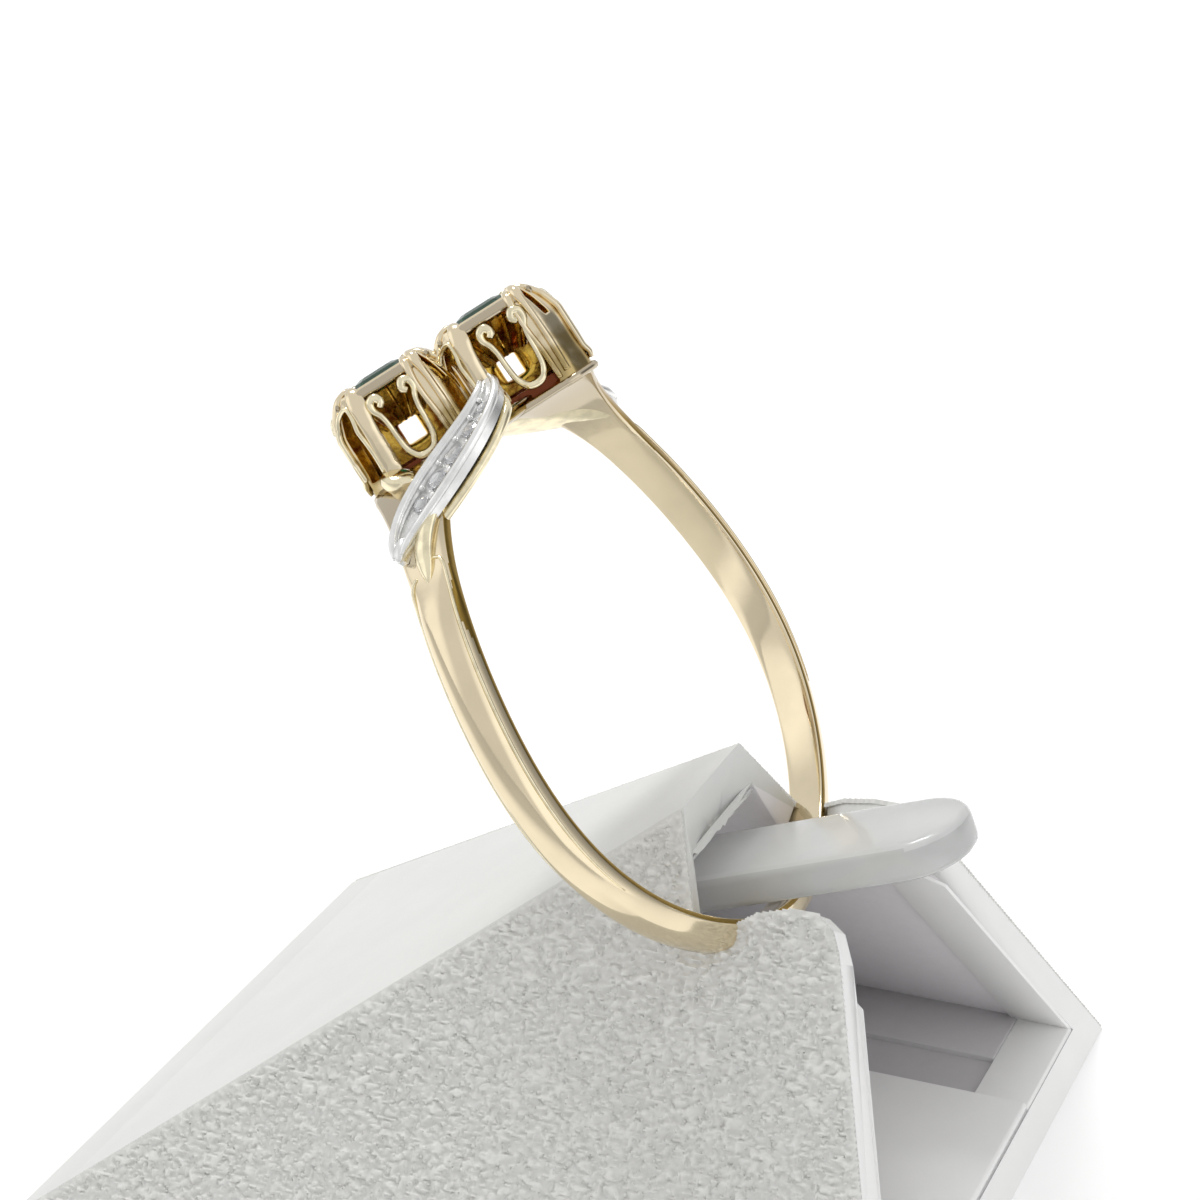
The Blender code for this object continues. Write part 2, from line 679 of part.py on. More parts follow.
def build():
    clear_scene()
    seat = build_seat()
    build_base()
    build_stand(seat)
    build_tongue(seat)
    body = build_band(seat)
    for half, side in enumerate(("left", "right")):
        cut_leaf_seat(body, seat, half, side)
    for half, side in enumerate(("left", "right")):
        add_backing(body, seat, half, side)
    build_heads(body, seat)
    for half, side in enumerate(("left", "right")):
        build_emerald("%s_emerald" % side, seat, half)
        build_leaf("%s_leaf" % side, seat, half)
        for number, share in enumerate(DIAMOND_PLACES, 1):
            build_diamond("%s_diamond_%d" % (side, number), seat, share, half)
    bpy.context.view_layer.update()


build()
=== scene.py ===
"""Dress the emerald ring and its display stand, and set them on a pale studio floor.

World frame: X from the stand's sloped front to its open back, Y across it, Z up, metres.
Ring frame: X along the finger hole, Y across it, Z from the hole's centre to the heads.
The left half of the ring is modelled, and half a turn about the ring's Z gives the right half.
"""

import math

import bmesh
import bpy
from mathutils import Matrix, Vector, noise


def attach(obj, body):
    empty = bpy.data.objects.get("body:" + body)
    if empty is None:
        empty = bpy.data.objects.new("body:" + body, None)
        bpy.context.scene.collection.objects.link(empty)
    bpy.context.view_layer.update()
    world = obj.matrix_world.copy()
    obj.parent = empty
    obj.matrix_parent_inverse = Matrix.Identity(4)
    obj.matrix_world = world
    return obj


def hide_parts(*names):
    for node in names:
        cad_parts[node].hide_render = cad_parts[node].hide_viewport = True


bl_info = {
    "name": "Emerald Ring Dresser",
    "version": (1, 0, 0),
    "blender": (4, 5, 0),
    "location": "3D View > Sidebar > Ring",
    "description": "Builds the polished pieces of a two-stone ring and its display stand",
    "category": "Object",
}

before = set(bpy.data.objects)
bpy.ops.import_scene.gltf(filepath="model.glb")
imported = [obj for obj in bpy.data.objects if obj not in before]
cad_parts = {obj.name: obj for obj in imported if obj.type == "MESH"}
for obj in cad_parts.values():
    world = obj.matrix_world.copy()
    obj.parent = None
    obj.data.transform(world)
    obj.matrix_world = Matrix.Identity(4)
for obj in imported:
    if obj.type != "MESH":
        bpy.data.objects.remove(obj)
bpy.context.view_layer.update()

MM = 0.001
SIDES = ("left", "right")
# Points nearer than this are one point
WELD = 0.0005 * MM

# Where the ring stands in the world
RING_CENTRE = Vector((2.462, 0.0, 17.102)) * MM
RING_YAW = math.radians(2.26)
RING_LEAN = math.radians(34.1)
RING_ROLL = math.radians(2.4)

# Out-of-round share of the hole's radius, by the number of waves round the ring
HOLE_WAVES = {2: 0.0187, 3: 0.0080, 4: -0.0027, 5: -0.0109}

# How far a face looks along the hole where it is part of a narrow side: at the shoulders and on
# the shank, and the angles from the heads between which one passes into the other
EDGE_LOOKS = (0.80, 0.985)
SHANK_ANGLES = (math.radians(48), math.radians(70))
# Heights over the hole's centre between which the band's gold turns to painted shade under the heads, and
# between which a basket's painted dark reflections give way to bright gold
PAINTED_SHADE_HEIGHTS = (5.6 * MM, 7.8 * MM)
REFLECTION_PATCH_HEIGHTS = (9.0 * MM, 10.8 * MM)

# Basket sections: height as a share of the head's height, half width, half length and
# cut corner as shares of the head's half width and half length
HEAD_SECTIONS = (
    {"height": 0.00, "width": 0.96, "length": 0.96, "corner": 0.33},
    {"height": 0.15, "width": 1.00, "length": 1.00, "corner": 0.33},
    {"height": 0.22, "width": 0.95, "length": 0.95, "corner": 0.31},
    {"height": 0.66, "width": 0.94, "length": 0.94, "corner": 0.31},
    {"height": 0.84, "width": 0.83, "length": 0.90, "corner": 0.25},
    {"height": 0.93, "width": 0.73, "length": 0.86, "corner": 0.16},
    {"height": 1.00, "width": 0.63, "length": 0.81, "corner": 0.09},
)
BASKET_ROWS = (0.0, 0.055, 0.19, 0.285, 0.40, 0.494, 0.66, 0.80, 0.885, 1.0)
# First and last row of the window on the front, right, back and left side of a basket, and
# of the opening at the corner that follows each side
WINDOW_ROWS = ((1, 8), (1, 8), (3, 5), (1, 8))
CORNER_ROWS = ((6, 9), (2, 8), (6, 9), (2, 8))

# Bars on a basket's sides, in mm: place from the side's middle, height over the hole,
# height off the wall, half width and half thickness
WIDE_POST = (
    (-1.10, 8.50, 0.02, 0.20, 0.08), (-1.10, 8.95, 0.06, 0.27, 0.12), (-1.08, 9.80, 0.07, 0.25, 0.13),
    (-1.05, 10.50, 0.07, 0.26, 0.13), (-1.00, 11.00, 0.06, 0.30, 0.12), (-0.96, 11.36, 0.00, 0.24, 0.12),
    (-0.92, 11.48, -0.22, 0.15, 0.08),
)
THIN_POSTS = (
    (
        (0.92, 8.50, 0.02, 0.09, 0.07), (0.90, 9.40, 0.05, 0.10, 0.10), (0.82, 10.20, 0.06, 0.10, 0.11),
        (0.80, 10.80, 0.08, 0.11, 0.12), (0.84, 11.28, 0.06, 0.15, 0.14), (0.84, 11.46, -0.16, 0.11, 0.09),
    ),
    (
        (1.22, 8.60, 0.02, 0.10, 0.07), (1.24, 9.60, 0.05, 0.11, 0.10), (1.22, 10.40, 0.06, 0.10, 0.11),
        (1.18, 10.90, 0.07, 0.12, 0.12), (1.12, 11.34, 0.04, 0.18, 0.15), (1.04, 11.50, -0.20, 0.13, 0.10),
    ),
)
# One half of the wire in a window, up to its curled end: place, height, height off the wall and
# half thickness
LYRE = (
    (0.00, 8.74, 0.04, 0.13), (0.26, 8.82, 0.05, 0.12), (0.44, 9.12, 0.06, 0.10),
    (0.50, 9.60, 0.06, 0.09), (0.52, 10.05, 0.06, 0.09), (0.58, 10.36, 0.07, 0.10),
    (0.70, 10.62, 0.09, 0.12), (0.66, 10.86, 0.11, 0.14), (0.47, 10.92, 0.13, 0.15),
    (0.37, 10.74, 0.15, 0.14), (0.48, 10.60, 0.17, 0.10),
)
# The cup at a basket's foot: radius and height in mm, from the bottom to the inside of the bowl
CUP_PROFILE = (
    (0.06, -0.80), (0.24, -0.82), (0.36, -0.76), (0.38, -0.66), (0.29, -0.58), (0.22, -0.50), (0.26, -0.42),
    (0.48, -0.24), (0.58, -0.08), (0.56, 0.08), (0.44, 0.18), (0.26, 0.23), (0.06, 0.24),
)
# The wire round a corner opening, as place past the side's flat part, height and height off the wall
CORNER_ARCH = (
    (0.03, 8.95, 0.03), (0.00, 9.60, 0.04), (-0.02, 10.40, 0.05), (0.08, 10.92, 0.06), (0.36, 11.10, 0.07),
    (0.66, 10.86, 0.06), (0.82, 10.30, 0.05), (0.90, 9.60, 0.04), (0.88, 8.95, 0.03),
)
ARCH_WIRE = 0.085
# A bar of the bezel: place as a share of its reach, and thickness as a share of its size
BEZEL_BAR = ((-1.0, 0.5), (-0.96, 0.9), (-0.5, 1.0), (0.0, 1.0), (0.5, 1.0), (0.96, 0.9), (1.0, 0.5))

# The emerald's rows of facets: share of its outline, and height over its girdle in mm
EMERALD_LEVELS = (
    (0.50, 0.45), (0.70, 0.38), (0.87, 0.22), (1.0, 0.0), (1.0, -0.06), (0.84, -0.32), (0.64, -0.66),
    (0.40, -0.98), (0.14, -1.24),
)
# Its seat's steps: share of the stone's outline, and depth under the girdle in mm
SEAT_LEVELS = ((1.0, 0.10), (0.86, 0.42), (0.66, 0.80), (0.42, 1.24))
SEAT_GAP = 0.16
# Half width and half thickness of the seat's ribs, and places of a side's ribs from its middle
CORNER_RIB = (0.09, 0.10)
SIDE_RIB = (0.06, 0.09)
SIDE_RIB_PLACES = (-0.45, 0.0, 0.45)
FLOOR_INSET = 0.36 * MM

# The polished point below a leaf: degrees from the heads, then in mm: place along the hole,
# height off the band, half width and half thickness
SHOULDER_POINT = (
    (-50.8, 0.00, -0.06, 0.02, 0.03), (-49.4, 0.00, 0.00, 0.14, 0.09), (-47.2, 0.00, 0.04, 0.26, 0.14),
    (-44.2, 0.03, 0.07, 0.32, 0.18), (-40.6, 0.22, 0.10, 0.30, 0.20), (-37.0, 0.52, 0.10, 0.24, 0.18),
    (-33.0, 0.92, 0.04, 0.14, 0.12),
)
# Raised lines that frame the shank's flat face: degrees and place as a share of the half width
SHANK_FRAME = (
    ((-120.0, 0.86), (-90.0, 0.86), (-60.0, 0.86), (-50.0, 0.86), (-47.0, 0.74), (-46.2, 0.52),
     (-46.0, 0.22)),
    ((-120.0, -0.90), (-90.0, -0.90), (-60.0, -0.90), (-52.0, -0.88), (-49.5, -0.70), (-48.5, -0.45)),
)
FRAME_WIRE = 0.055

# Outline of a side of the stand, in mm: run from the front to the back, and height
SIDE_OUTLINE = (
    (-14.50, 0.05), (5.02, 13.58), (6.32, 10.46), (8.00, 11.46), (9.12, 11.74), (9.84, 11.70), (10.36, 11.38),
    (10.78, 10.60), (14.58, 0.05),
)
# Corners of the board at the notch, on the +Y side, and where the thin covering brings them
NOTCH_CORNERS = (
    ((5.407, 1.868, 12.121), (5.407, 2.45, 12.24)),
    ((6.35, 3.484, 9.728), (6.33, 3.85, 9.80)),
    ((10.895, 3.102, 10.293), (10.81, 3.315, 9.979)),
)
# The open back's plane: its run at the floor, and how far it leans in for each unit of height
BACK_FOOT = 14.63 * MM
BACK_LEAN = 0.3629
FRONT_LEAN = 1.4367
# Top of the base board, and the foot of the walls that are glued to it
FLOOR_TOP = 1.2
SHELL_FOOT = 1.25

# The strip turned in on a side wall: whether a corner is at the open back, and its height in mm
WALL_STRIP = ((1, 1.3), (1, 9.0), (0, 10.4), (0, 1.3))
STRIP_INSET = 0.03 * MM
TORN_STEPS = 44

# Shares of a leaf's length at which its section is set
LEAF_PARTS = [step / 60 for step in range(61)]
# Place of each small stone along its leaf, as a share of the leaf's length
STONE_PLACES = (0.30, 0.41, 0.52, 0.64, 0.76)


def length(name, value, description):
    return bpy.props.FloatProperty(name=name, description=description, default=value * MM, unit="LENGTH",
                                   precision=5)


def share(name, value, description):
    return bpy.props.FloatProperty(name=name, description=description, default=value)


def angle(name, value, description):
    return bpy.props.FloatProperty(name=name, description=description, default=math.radians(value),
                                   subtype="ANGLE")


def colour(name, value, description):
    return bpy.props.FloatVectorProperty(name=name, description=description, default=value, size=3,
                                         subtype="COLOR", min=0.0, max=1.0)


class BandSizes(bpy.types.PropertyGroup):
    hole_radius: length("Hole radius", 8.5, "Mean radius of the finger hole")
    bridge_height: length("Bridge height", 8.15, "Height of the bridge's underside over the hole's centre")
    bottom_width: length("Width at the bottom", 1.30, "Width of the band opposite the heads")
    top_width: length("Width at the top", 1.54, "Width of the band at the heads, without its shoulders")
    edge: length("Edge", 0.3, "Thickness of the band at its edges")
    crown: length("Crown", 0.85, "Thickness of the band at its middle")
    bridge_edge: length("Bridge thickness", 0.5, "Thickness of the flat bridge under the heads")
    shoulder_angle: angle("Shoulder start", 59, "Angle from the heads where a shoulder starts")
    shoulder_top_angle: angle("Shoulder end", 24, "Angle from the heads where a shoulder is widest")
    shoulder_blend: angle("Shoulder blend", 12, "Angle over which the dome flattens")
    shoulder_curve: share("Shoulder curve", 2.4, "How late a shoulder spreads")
    shoulder_spread: length("Shoulder spread", 2.34, "Place of the widest edge from the band's middle line")
    squareness: share("Squareness", 5.0, "Exponent of the section: 2 is an ellipse")
    flatness: share("Flatness", 3.6, "Exponent of the outer face's dome: higher is flatter")
    steps: bpy.props.IntProperty(name="Steps", description="Sections round the band", default=216)
    across: bpy.props.IntProperty(name="Points across", description="Points of a section", default=40)


class HeadSizes(bpy.types.PropertyGroup):
    top: length("Top", 11.44, "Height of the bezel over the hole's centre")
    foot: length("Foot", 8.2, "Height of the basket's foot over the hole's centre")
    half_width: length("Half width", 2.08, "Half the basket's width")
    half_length: length("Half length", 2.12, "Half the basket's length")
    offset: length("Offset", 1.79, "Place of a head from the middle of the pair")
    turn: angle("Turn", 32.8, "Turn of the pair about the ring's height")
    wall: length("Wall", 0.4, "Wall of the basket")
    front_window: length("Front window", 0.86, "Half width of the front window")
    back_window: length("Back window", 0.31, "Half width of the back window")
    side_window: length("Side window", 0.80, "Half width of the side windows")
    slit: length("Claw slit", 0.2, "Width of the slit between a closed corner's claws")
    corner_opening: length("Corner opening", 0.58, "Width of an open corner")
    floor: length("Floor", 0.14, "Thickness of the basket's floor")
    # The dark of this recess is painted shade: the band round the floor up to this height gets the painted
    # shade gold
    recess: length("Recess", 8.72, "Height of the dark recess round the floor, over the hole's centre")
    bar_height: length("Bar height", 11.2, "Height of the bezel's bars over the hole's centre")
    bar_size: length("Bar size", 0.16, "Half width of a bezel bar")
    rail_radius: length("Base rail", 0.13, "Radius of the rail round the foot")
    cup_side: length("Cup side", -1.12, "Place of the cup from the middle of the basket's front")
    cup_height: length("Cup height", 8.52, "Height of the cup's rim over the hole's centre")
    cup_reach: length("Cup reach", 0.4, "How far the cup's middle stands off the basket's wall")
    lyre_shift: length("Wire shift", 0.24, "How far the far head's window wire is off the middle")


class LeafSizes(bpy.types.PropertyGroup):
    start_angle: angle("Start", -44.6, "Angle of the leaf's lower tip from the heads")
    end_angle: angle("End", -12.2, "Angle of the leaf's upper tip from the heads")
    start_side: length("Start side", -0.72, "Place of the lower tip along the hole")
    swing: length("Swing", 3.2, "How far the leaf swings along the hole")
    turn: share("Turn", 0.58, "Half waves of the swing")
    ease: share("Ease", 2.0, "How late the swing starts")
    half_width: length("Half width", 0.95, "Half the leaf's greatest width")
    tip_half_width: length("Tip half width", 0.1, "Half the width at the tips")
    stand: length("Stand", 0.86, "Height of the leaf's top over the hole at its lower tip")
    lift: length("Lift", 0.58, "Extra height at the upper tip")
    thickness: length("Thickness", 0.3, "Thickness of the leaf")
    rim: length("Rim", 0.3, "Width of the rim each side of the channel")
    channel: length("Channel", 0.14, "Depth of the channel")
    backing: length("Backing", 0.42, "Thickness of the gold backing")
    backing_offset: length("Backing offset", 0.05, "How far the backing shows on one side")
    solder_gap: length("Solder gap", 0.04, "Gap between the leaf and its backing")
    rim_wire: length("Rim wire", 0.13, "Radius of the round rim")
    loop: length("Loop", 0.19, "Half width of the closed loop at the lower tip")
    grain: length("Grain", 0.085, "Radius of the grains between the stones")
    bead_radius: length("Bead radius", 0.045, "Radius of the beads along a rim")
    bead_pitch: length("Bead pitch", 0.085, "Distance between beads")


class StoneSizes(bpy.types.PropertyGroup):
    emerald_half_width: length("Emerald half width", 1.08, "Half the emerald's width")
    emerald_half_length: length("Emerald half length", 1.46, "Half the emerald's length")
    emerald_corner: length("Emerald corner", 0.28, "Cut corner of the emerald")
    emerald_sink: length("Emerald sink", 0.3, "Depth of the emerald's girdle under the bezel's top")
    seat_wall: length("Seat wall", 0.1, "Wall of the emerald's seat")
    spread: share("Spread", 0.62, "Radius as a share of the channel's half width")
    gap: length("Gap", 0.04, "Gap between a stone and its seat")
    sink: length("Sink", 0.05, "Depth of the girdle under the leaf's top")
    crown: share("Crown", 0.26, "Height of the crown as a share of the radius")
    table: share("Table", 0.56, "Radius of the table as a share of the radius")
    pavilion: share("Pavilion", 0.5, "Depth of the pavilion as a share of the radius")


class StandSizes(bpy.types.PropertyGroup):
    half_width: length("Half width", 11.5, "Half the stand's width at its foot")
    lean: share("Side lean", 0.6752, "How far a side leans in for each unit of height")
    wall: length("Wall", 1.45, "Thickness of a side wall, measured level")
    fold: length("Fold", 0.16, "Radius of the covering where it folds round an edge")
    grain: length("Grain", 0.15, "Size of the covering's pebbles")
    proud: length("Proud", 0.09, "How far the covering stands off the board")
    border: length("Border", 0.22, "Width over which the pebbles flatten towards the covering's edge")
    relief: length("Relief", 0.20, "Depth of the covering's pebbles")
    spacing: length("Mesh spacing", 0.049, "Distance between the points of the pebbled covering")
    torn: length("Torn edge", 0.20, "How far the torn covering hangs over the notch")
    strip: length("Turned-in strip", 2.0, "Width of the covering turned in at the open back")
    paper: length("Paper", 0.12, "Thickness of the turned-in covering")


class Colours(bpy.types.PropertyGroup):
    gold: colour("Gold", (0.88, 0.76, 0.54), "Polished yellow gold")
    # Painted shade: darker gold for the band under the heads
    dull: colour("Shade under the heads", (0.58, 0.50, 0.37), "Yellow gold under the heads")
    # Painted highlight: lighter gold for the points, wires, cup and backing
    bright: colour("Bright gold", (1.0, 0.90, 0.64), "Satin yellow gold of the points and wires")
    # Painted reflection: olive patches for the darker parts that the baskets mirror, most at their foot
    olive: colour("Reflection olive", (0.46, 0.35, 0.16), "Patches at the foot of the baskets")
    # Painted shade: dark gold for the narrow side faces of the band
    shaded_side_gold: colour("Shaded side gold", (0.34, 0.22, 0.05), "The narrow side faces of the band")
    # Partly painted shade: the deeper tone and dark red spots stand for the shade inside the baskets
    cast_gold: colour("Cast gold", (0.80, 0.53, 0.10), "Unpolished gold inside the baskets")
    white_gold: colour("White gold", (0.96, 0.96, 0.95), "Polished white gold")
    emerald: colour("Emerald", (0.015, 0.20, 0.10), "Green of the main stones")
    # Painted shade: dark gold laid in the baskets' recesses, where shade falls
    tarnish: colour("Tarnish", (0.16, 0.045, 0.02), "Dark gold in the recesses of the baskets")
    cover: colour("Covering", (0.78, 0.78, 0.755), "White leatherette")
    smooth: colour("Smooth covering", (0.76, 0.765, 0.745), "White covering where it is smooth")
    # Painted light: the cut edges and turned-in strips are lighter than the covering, to make up for the
    # shade at the open back
    edge: colour("Cut edge", (0.93, 0.93, 0.92), "White covering at its cut edges and where it is turned in")
    # Painted light: the grey board gets a near-white tone, to make up for the shade inside the stand
    lining: colour("Lining", (0.97, 0.95, 0.97), "Grey board inside the stand")
    plastic: colour("Plastic", (0.93, 0.94, 0.93), "Clear tongue")


class RingProject(bpy.types.PropertyGroup):
    band: bpy.props.PointerProperty(type=BandSizes)
    head: bpy.props.PointerProperty(type=HeadSizes)
    leaf: bpy.props.PointerProperty(type=LeafSizes)
    stone: bpy.props.PointerProperty(type=StoneSizes)
    stand: bpy.props.PointerProperty(type=StandSizes)
    colours: bpy.props.PointerProperty(type=Colours)


# Shader arithmetic


class Value:
    """A shader socket that takes part in arithmetic."""

    def __init__(self, tree, socket):
        self.tree = tree
        self.socket = socket

    def math(self, operation, first, second):
        node = self.tree.nodes.new("ShaderNodeMath")
        node.operation = operation
        for socket, term in zip(node.inputs, (first, second)):
            if isinstance(term, Value):
                self.tree.links.new(term.socket, socket)
            else:
                socket.default_value = term
        return Value(self.tree, node.outputs[0])

    def __add__(self, other):
        return self.math("ADD", self, other)

    __radd__ = __add__

    def __sub__(self, other):
        return self.math("SUBTRACT", self, other)

    def __rsub__(self, other):
        return self.math("SUBTRACT", other, self)

    def __mul__(self, other):
        return self.math("MULTIPLY", self, other)

    __rmul__ = __mul__


class Finish:
    """A material in the making: its shader and the nodes that feed it."""

    def __init__(self, name, holder=None):
        self.material = holder or bpy.data.materials.new(name)
        self.material.use_nodes = True
        self.tree = self.material.node_tree
        self.shader = self.tree.nodes["Background" if holder else "Principled BSDF"]
        coordinates = self.tree.nodes.new("ShaderNodeTexCoord")
        self.place = Value(self.tree, coordinates.outputs["Object"])
        self.direction = Value(self.tree, coordinates.outputs["Generated"])

    def node(self, kind, output=0, settings=None, **sockets):
        """Add a node, set it, feed its sockets with values or links, and return one output."""
        node = self.tree.nodes.new(kind)
        for name, value in (settings or {}).items():
            setattr(node, name, value)
        for name, value in sockets.items():
            key = 1 if name.endswith("_001") else name.replace("_", " ")
            self.feed(node.inputs[key], value)
        return Value(self.tree, node.outputs[output])

    def feed(self, socket, value):
        if isinstance(value, Value):
            self.tree.links.new(value.socket, socket)
        else:
            socket.default_value = value

    def noise(self, size, detail=2.0, roughness=0.5):
        """Noise from 0 to 1 with features of about one size in metres."""
        return self.node("ShaderNodeTexNoise", Vector=self.place, Scale=1.0 / size, Detail=detail,
                         Roughness=roughness)

    def along(self, vector, direction):
        """How far a vector reaches in a direction."""
        return self.node("ShaderNodeVectorMath", output="Value", settings={"operation": "DOT_PRODUCT"},
                         Vector=vector, Vector_001=tuple(direction))

    def between(self, value, low, high, out_low=0.0, out_high=1.0):
        """Ease a value from one range into another."""
        settings = {"interpolation_type": "SMOOTHSTEP"}
        return self.node("ShaderNodeMapRange", settings=settings, Value=value, From_Min=low,
                         From_Max=high, To_Min=out_low, To_Max=out_high)

    def mix(self, factor, first, second):
        """Mix two colours."""
        node = self.tree.nodes.new("ShaderNodeMix")
        node.data_type = "RGBA"
        self.feed(node.inputs[0], factor)
        for socket, term in ((node.inputs[6], first), (node.inputs[7], second)):
            self.feed(socket, term if isinstance(term, Value) else (*term, 1.0))
        return Value(self.tree, node.outputs[2])

    def bump(self, height, depth, strength):
        bump = self.node("ShaderNodeBump", Height=height, Distance=depth * MM, Strength=strength)
        self.feed(self.shader.inputs["Normal"], bump)

    def surface(self, **sockets):
        for name, value in sockets.items():
            self.feed(self.shader.inputs[name.replace("_", " ")], value)
        return self.material


def darker(shade, factor):
    return tuple(channel * factor for channel in shade)


def up_the_ring(finish):
    """Height over the hole's centre, along the ring's own upright."""
    up = seat_matrix().to_3x3() @ Vector((0.0, 0.0, 1.0))
    return finish.along(finish.place, up) - up.dot(RING_CENTRE)


def polished_gold(shade, dull):
    """Polished gold, with painted shade that darkens it under the heads."""
    finish = Finish("polished gold")
    mottle = finish.noise(1.6 * MM, detail=3.0)
    scratches = finish.noise(0.09 * MM, detail=4.0, roughness=0.6)
    tone = finish.mix(finish.between(mottle, 0.35, 0.7), shade, darker(shade, 0.93))
    # Painted shade: the band darkens towards the heads
    tone = finish.mix(finish.between(up_the_ring(finish), *PAINTED_SHADE_HEIGHTS), tone, dull)
    finish.bump(scratches, 0.002, 0.25)
    rough = finish.between(mottle, 0.3, 0.75, 0.07, 0.15)
    return finish.surface(Base_Color=tone, Metallic=1.0, Roughness=rough)


def wear_and_reflection_metal(name, shade, wear_and_reflection_tone, size, tone, bump, rough, detail=3.0, foot=False):
    """Metal with darker patches of about one size, which can grow towards the baskets' foot: wear on bright
    and white gold, painted reflections on the baskets' gold and painted shade on cast gold.
    """
    finish = Finish(name)
    patches = mottle = finish.noise(size * MM, detail=detail)
    if foot:
        # Painted reflection: more patches low on the basket, fewer near its top
        mottle = patches + finish.between(up_the_ring(finish), *REFLECTION_PATCH_HEIGHTS, 0.35, -0.2)
    finish.bump(patches, *bump)
    return finish.surface(Base_Color=finish.mix(finish.between(mottle, *tone), shade, wear_and_reflection_tone), Metallic=1.0,
                          Roughness=finish.between(patches, *rough))


def bright_gold(shade):
    """Gold painted lighter than the polished gold as a painted highlight, with a fine satin that spreads the
    light.
    """
    return wear_and_reflection_metal("bright gold", shade, darker(shade, 0.8), 0.4, (0.35, 0.7), (0.006, 0.4),
                      (0.3, 0.75, 0.10, 0.2))


def head_gold(shade, wear_and_reflection_tone):
    """Gold of the baskets: polished at the top, with patches of painted reflection that grow towards the
    foot.
    """
    return wear_and_reflection_metal("head gold", shade, wear_and_reflection_tone, 0.7, (0.45, 0.9), (0.03, 0.5), (0.3, 0.75, 0.08, 0.2),
                      detail=2.0, foot=True)


def cast_gold(shade, name="cast gold"):
    """Unpolished gold, deep in tone, with dark red spots of painted shade."""
    shade_spots = tuple(channel * part for channel, part in zip(shade, (0.34, 0.16, 0.12)))
    return wear_and_reflection_metal(name, shade, shade_spots, 0.5, (0.49, 0.66), (0.05, 0.5), (0.3, 0.7, 0.12, 0.3))


def white_gold(shade):
    """White gold with a soft polish."""
    return wear_and_reflection_metal("white gold", shade, darker(shade, 0.85), 0.5, (0.35, 0.7), (0.006, 0.4),
                      (0.3, 0.75, 0.24, 0.36))


def emerald_glass(shade):
    """Green stone with a cloudy garden inside."""
    finish = Finish("emerald")
    garden = finish.noise(0.35 * MM, detail=4.0, roughness=0.7)
    tone = finish.mix(finish.between(garden, 0.45, 0.75), shade, darker(shade, 0.55))
    return finish.surface(Base_Color=tone, Roughness=0.02, IOR=1.58, Transmission_Weight=0.85)


def clear_stone():
    finish = Finish("clear stone")
    haze = finish.noise(0.3 * MM)
    tone = finish.mix(haze, (0.98, 0.98, 1.0), (0.90, 0.91, 0.93))
    return finish.surface(Base_Color=tone, Roughness=0.0, IOR=2.1, Transmission_Weight=0.8)


def leatherette(shade, grain):
    """Pebbled covering: painted shade darkens its grooves, with fine wrinkles."""
    finish = Finish("leatherette")
    relief = finish.node("ShaderNodeAttribute", output="Fac", settings={"attribute_name": "relief"})
    wrinkles = finish.noise(0.4 * grain, detail=3.0, roughness=0.6)
    # Painted shade: darker where the relief is low
    tone = finish.mix(finish.between(relief, 0.1, 0.8), darker(shade, 0.87), shade)
    finish.bump(wrinkles, 0.012, 0.7)
    rough = finish.between(wrinkles, 0.3, 0.7, 0.45, 0.6)
    return finish.surface(Base_Color=tone, Roughness=rough)


def smooth_cover(name, shade):
    """Covering with hardly any grain."""
    finish = Finish(name)
    drift = finish.noise(3.0 * MM, detail=3.0)
    fine = finish.noise(0.12 * MM, detail=3.0, roughness=0.6)
    tone = finish.mix(finish.between(drift, 0.3, 0.75), darker(shade, 0.97), shade)
    finish.bump(fine, 0.01, 0.5)
    rough = finish.between(fine, 0.3, 0.7, 0.42, 0.55)
    return finish.surface(Base_Color=tone, Roughness=rough)


def grey_board(name, shade):
    """Bare board with a fibrous face."""
    finish = Finish(name)
    fibre = finish.noise(0.4 * MM, detail=5.0, roughness=0.7)
    tone = finish.mix(fibre, darker(shade, 0.9), shade)
    finish.bump(fibre, 0.02, 0.4)
    return finish.surface(Base_Color=tone, Roughness=0.7)


def clear_plastic(name, shade):
    """Hazy clear plastic."""
    finish = Finish(name)
    haze = finish.noise(1.2 * MM, detail=3.0)
    tone = finish.mix(haze, shade, darker(shade, 0.92))
    finish.bump(haze, 0.03, 0.2)
    rough = finish.between(haze, 0.3, 0.7, 0.05, 0.14)
    return finish.surface(Base_Color=tone, Roughness=rough, IOR=1.49, Transmission_Weight=0.4)


def studio_floor():
    """White paper, with painted shade that turns it pale grey in front of the object."""
    finish = Finish("studio floor")
    dust = finish.noise(5 * MM)
    white = finish.mix(dust, (0.96, 0.96, 0.96), (0.97, 0.97, 0.97))
    forward = finish.along(finish.place, (0.0, -1.0, 0.0))
    # Painted shade: grey floor in front, for the gold to mirror
    tone = finish.mix(finish.between(forward, 24 * MM, 60 * MM), white, (0.52, 0.52, 0.52))
    return finish.surface(Base_Color=tone, Roughness=0.7, Emission_Color=tone, Emission_Strength=0.14)


# Making and placing meshes


def only(items, kind):
    """The items of one kind, out of what an operator made."""
    return [item for item in items if isinstance(item, kind)]


def full_turn(count):
    """The angles of a full turn in equal steps."""
    return [2 * math.pi * step / count for step in range(count)]


def paint(bm, first, slot):
    """Give the faces made since a count of faces one material slot."""
    bm.faces.ensure_lookup_table()
    for face in bm.faces[first:]:
        face.material_index = slot


def bevel_edges(bm, edges, offset, segments):
    """Round edges off."""
    bmesh.ops.bevel(bm, geom=edges, offset=offset, offset_type="OFFSET", segments=segments, profile=0.5,
                    affect="EDGES", clamp_overlap=True, material=-1)


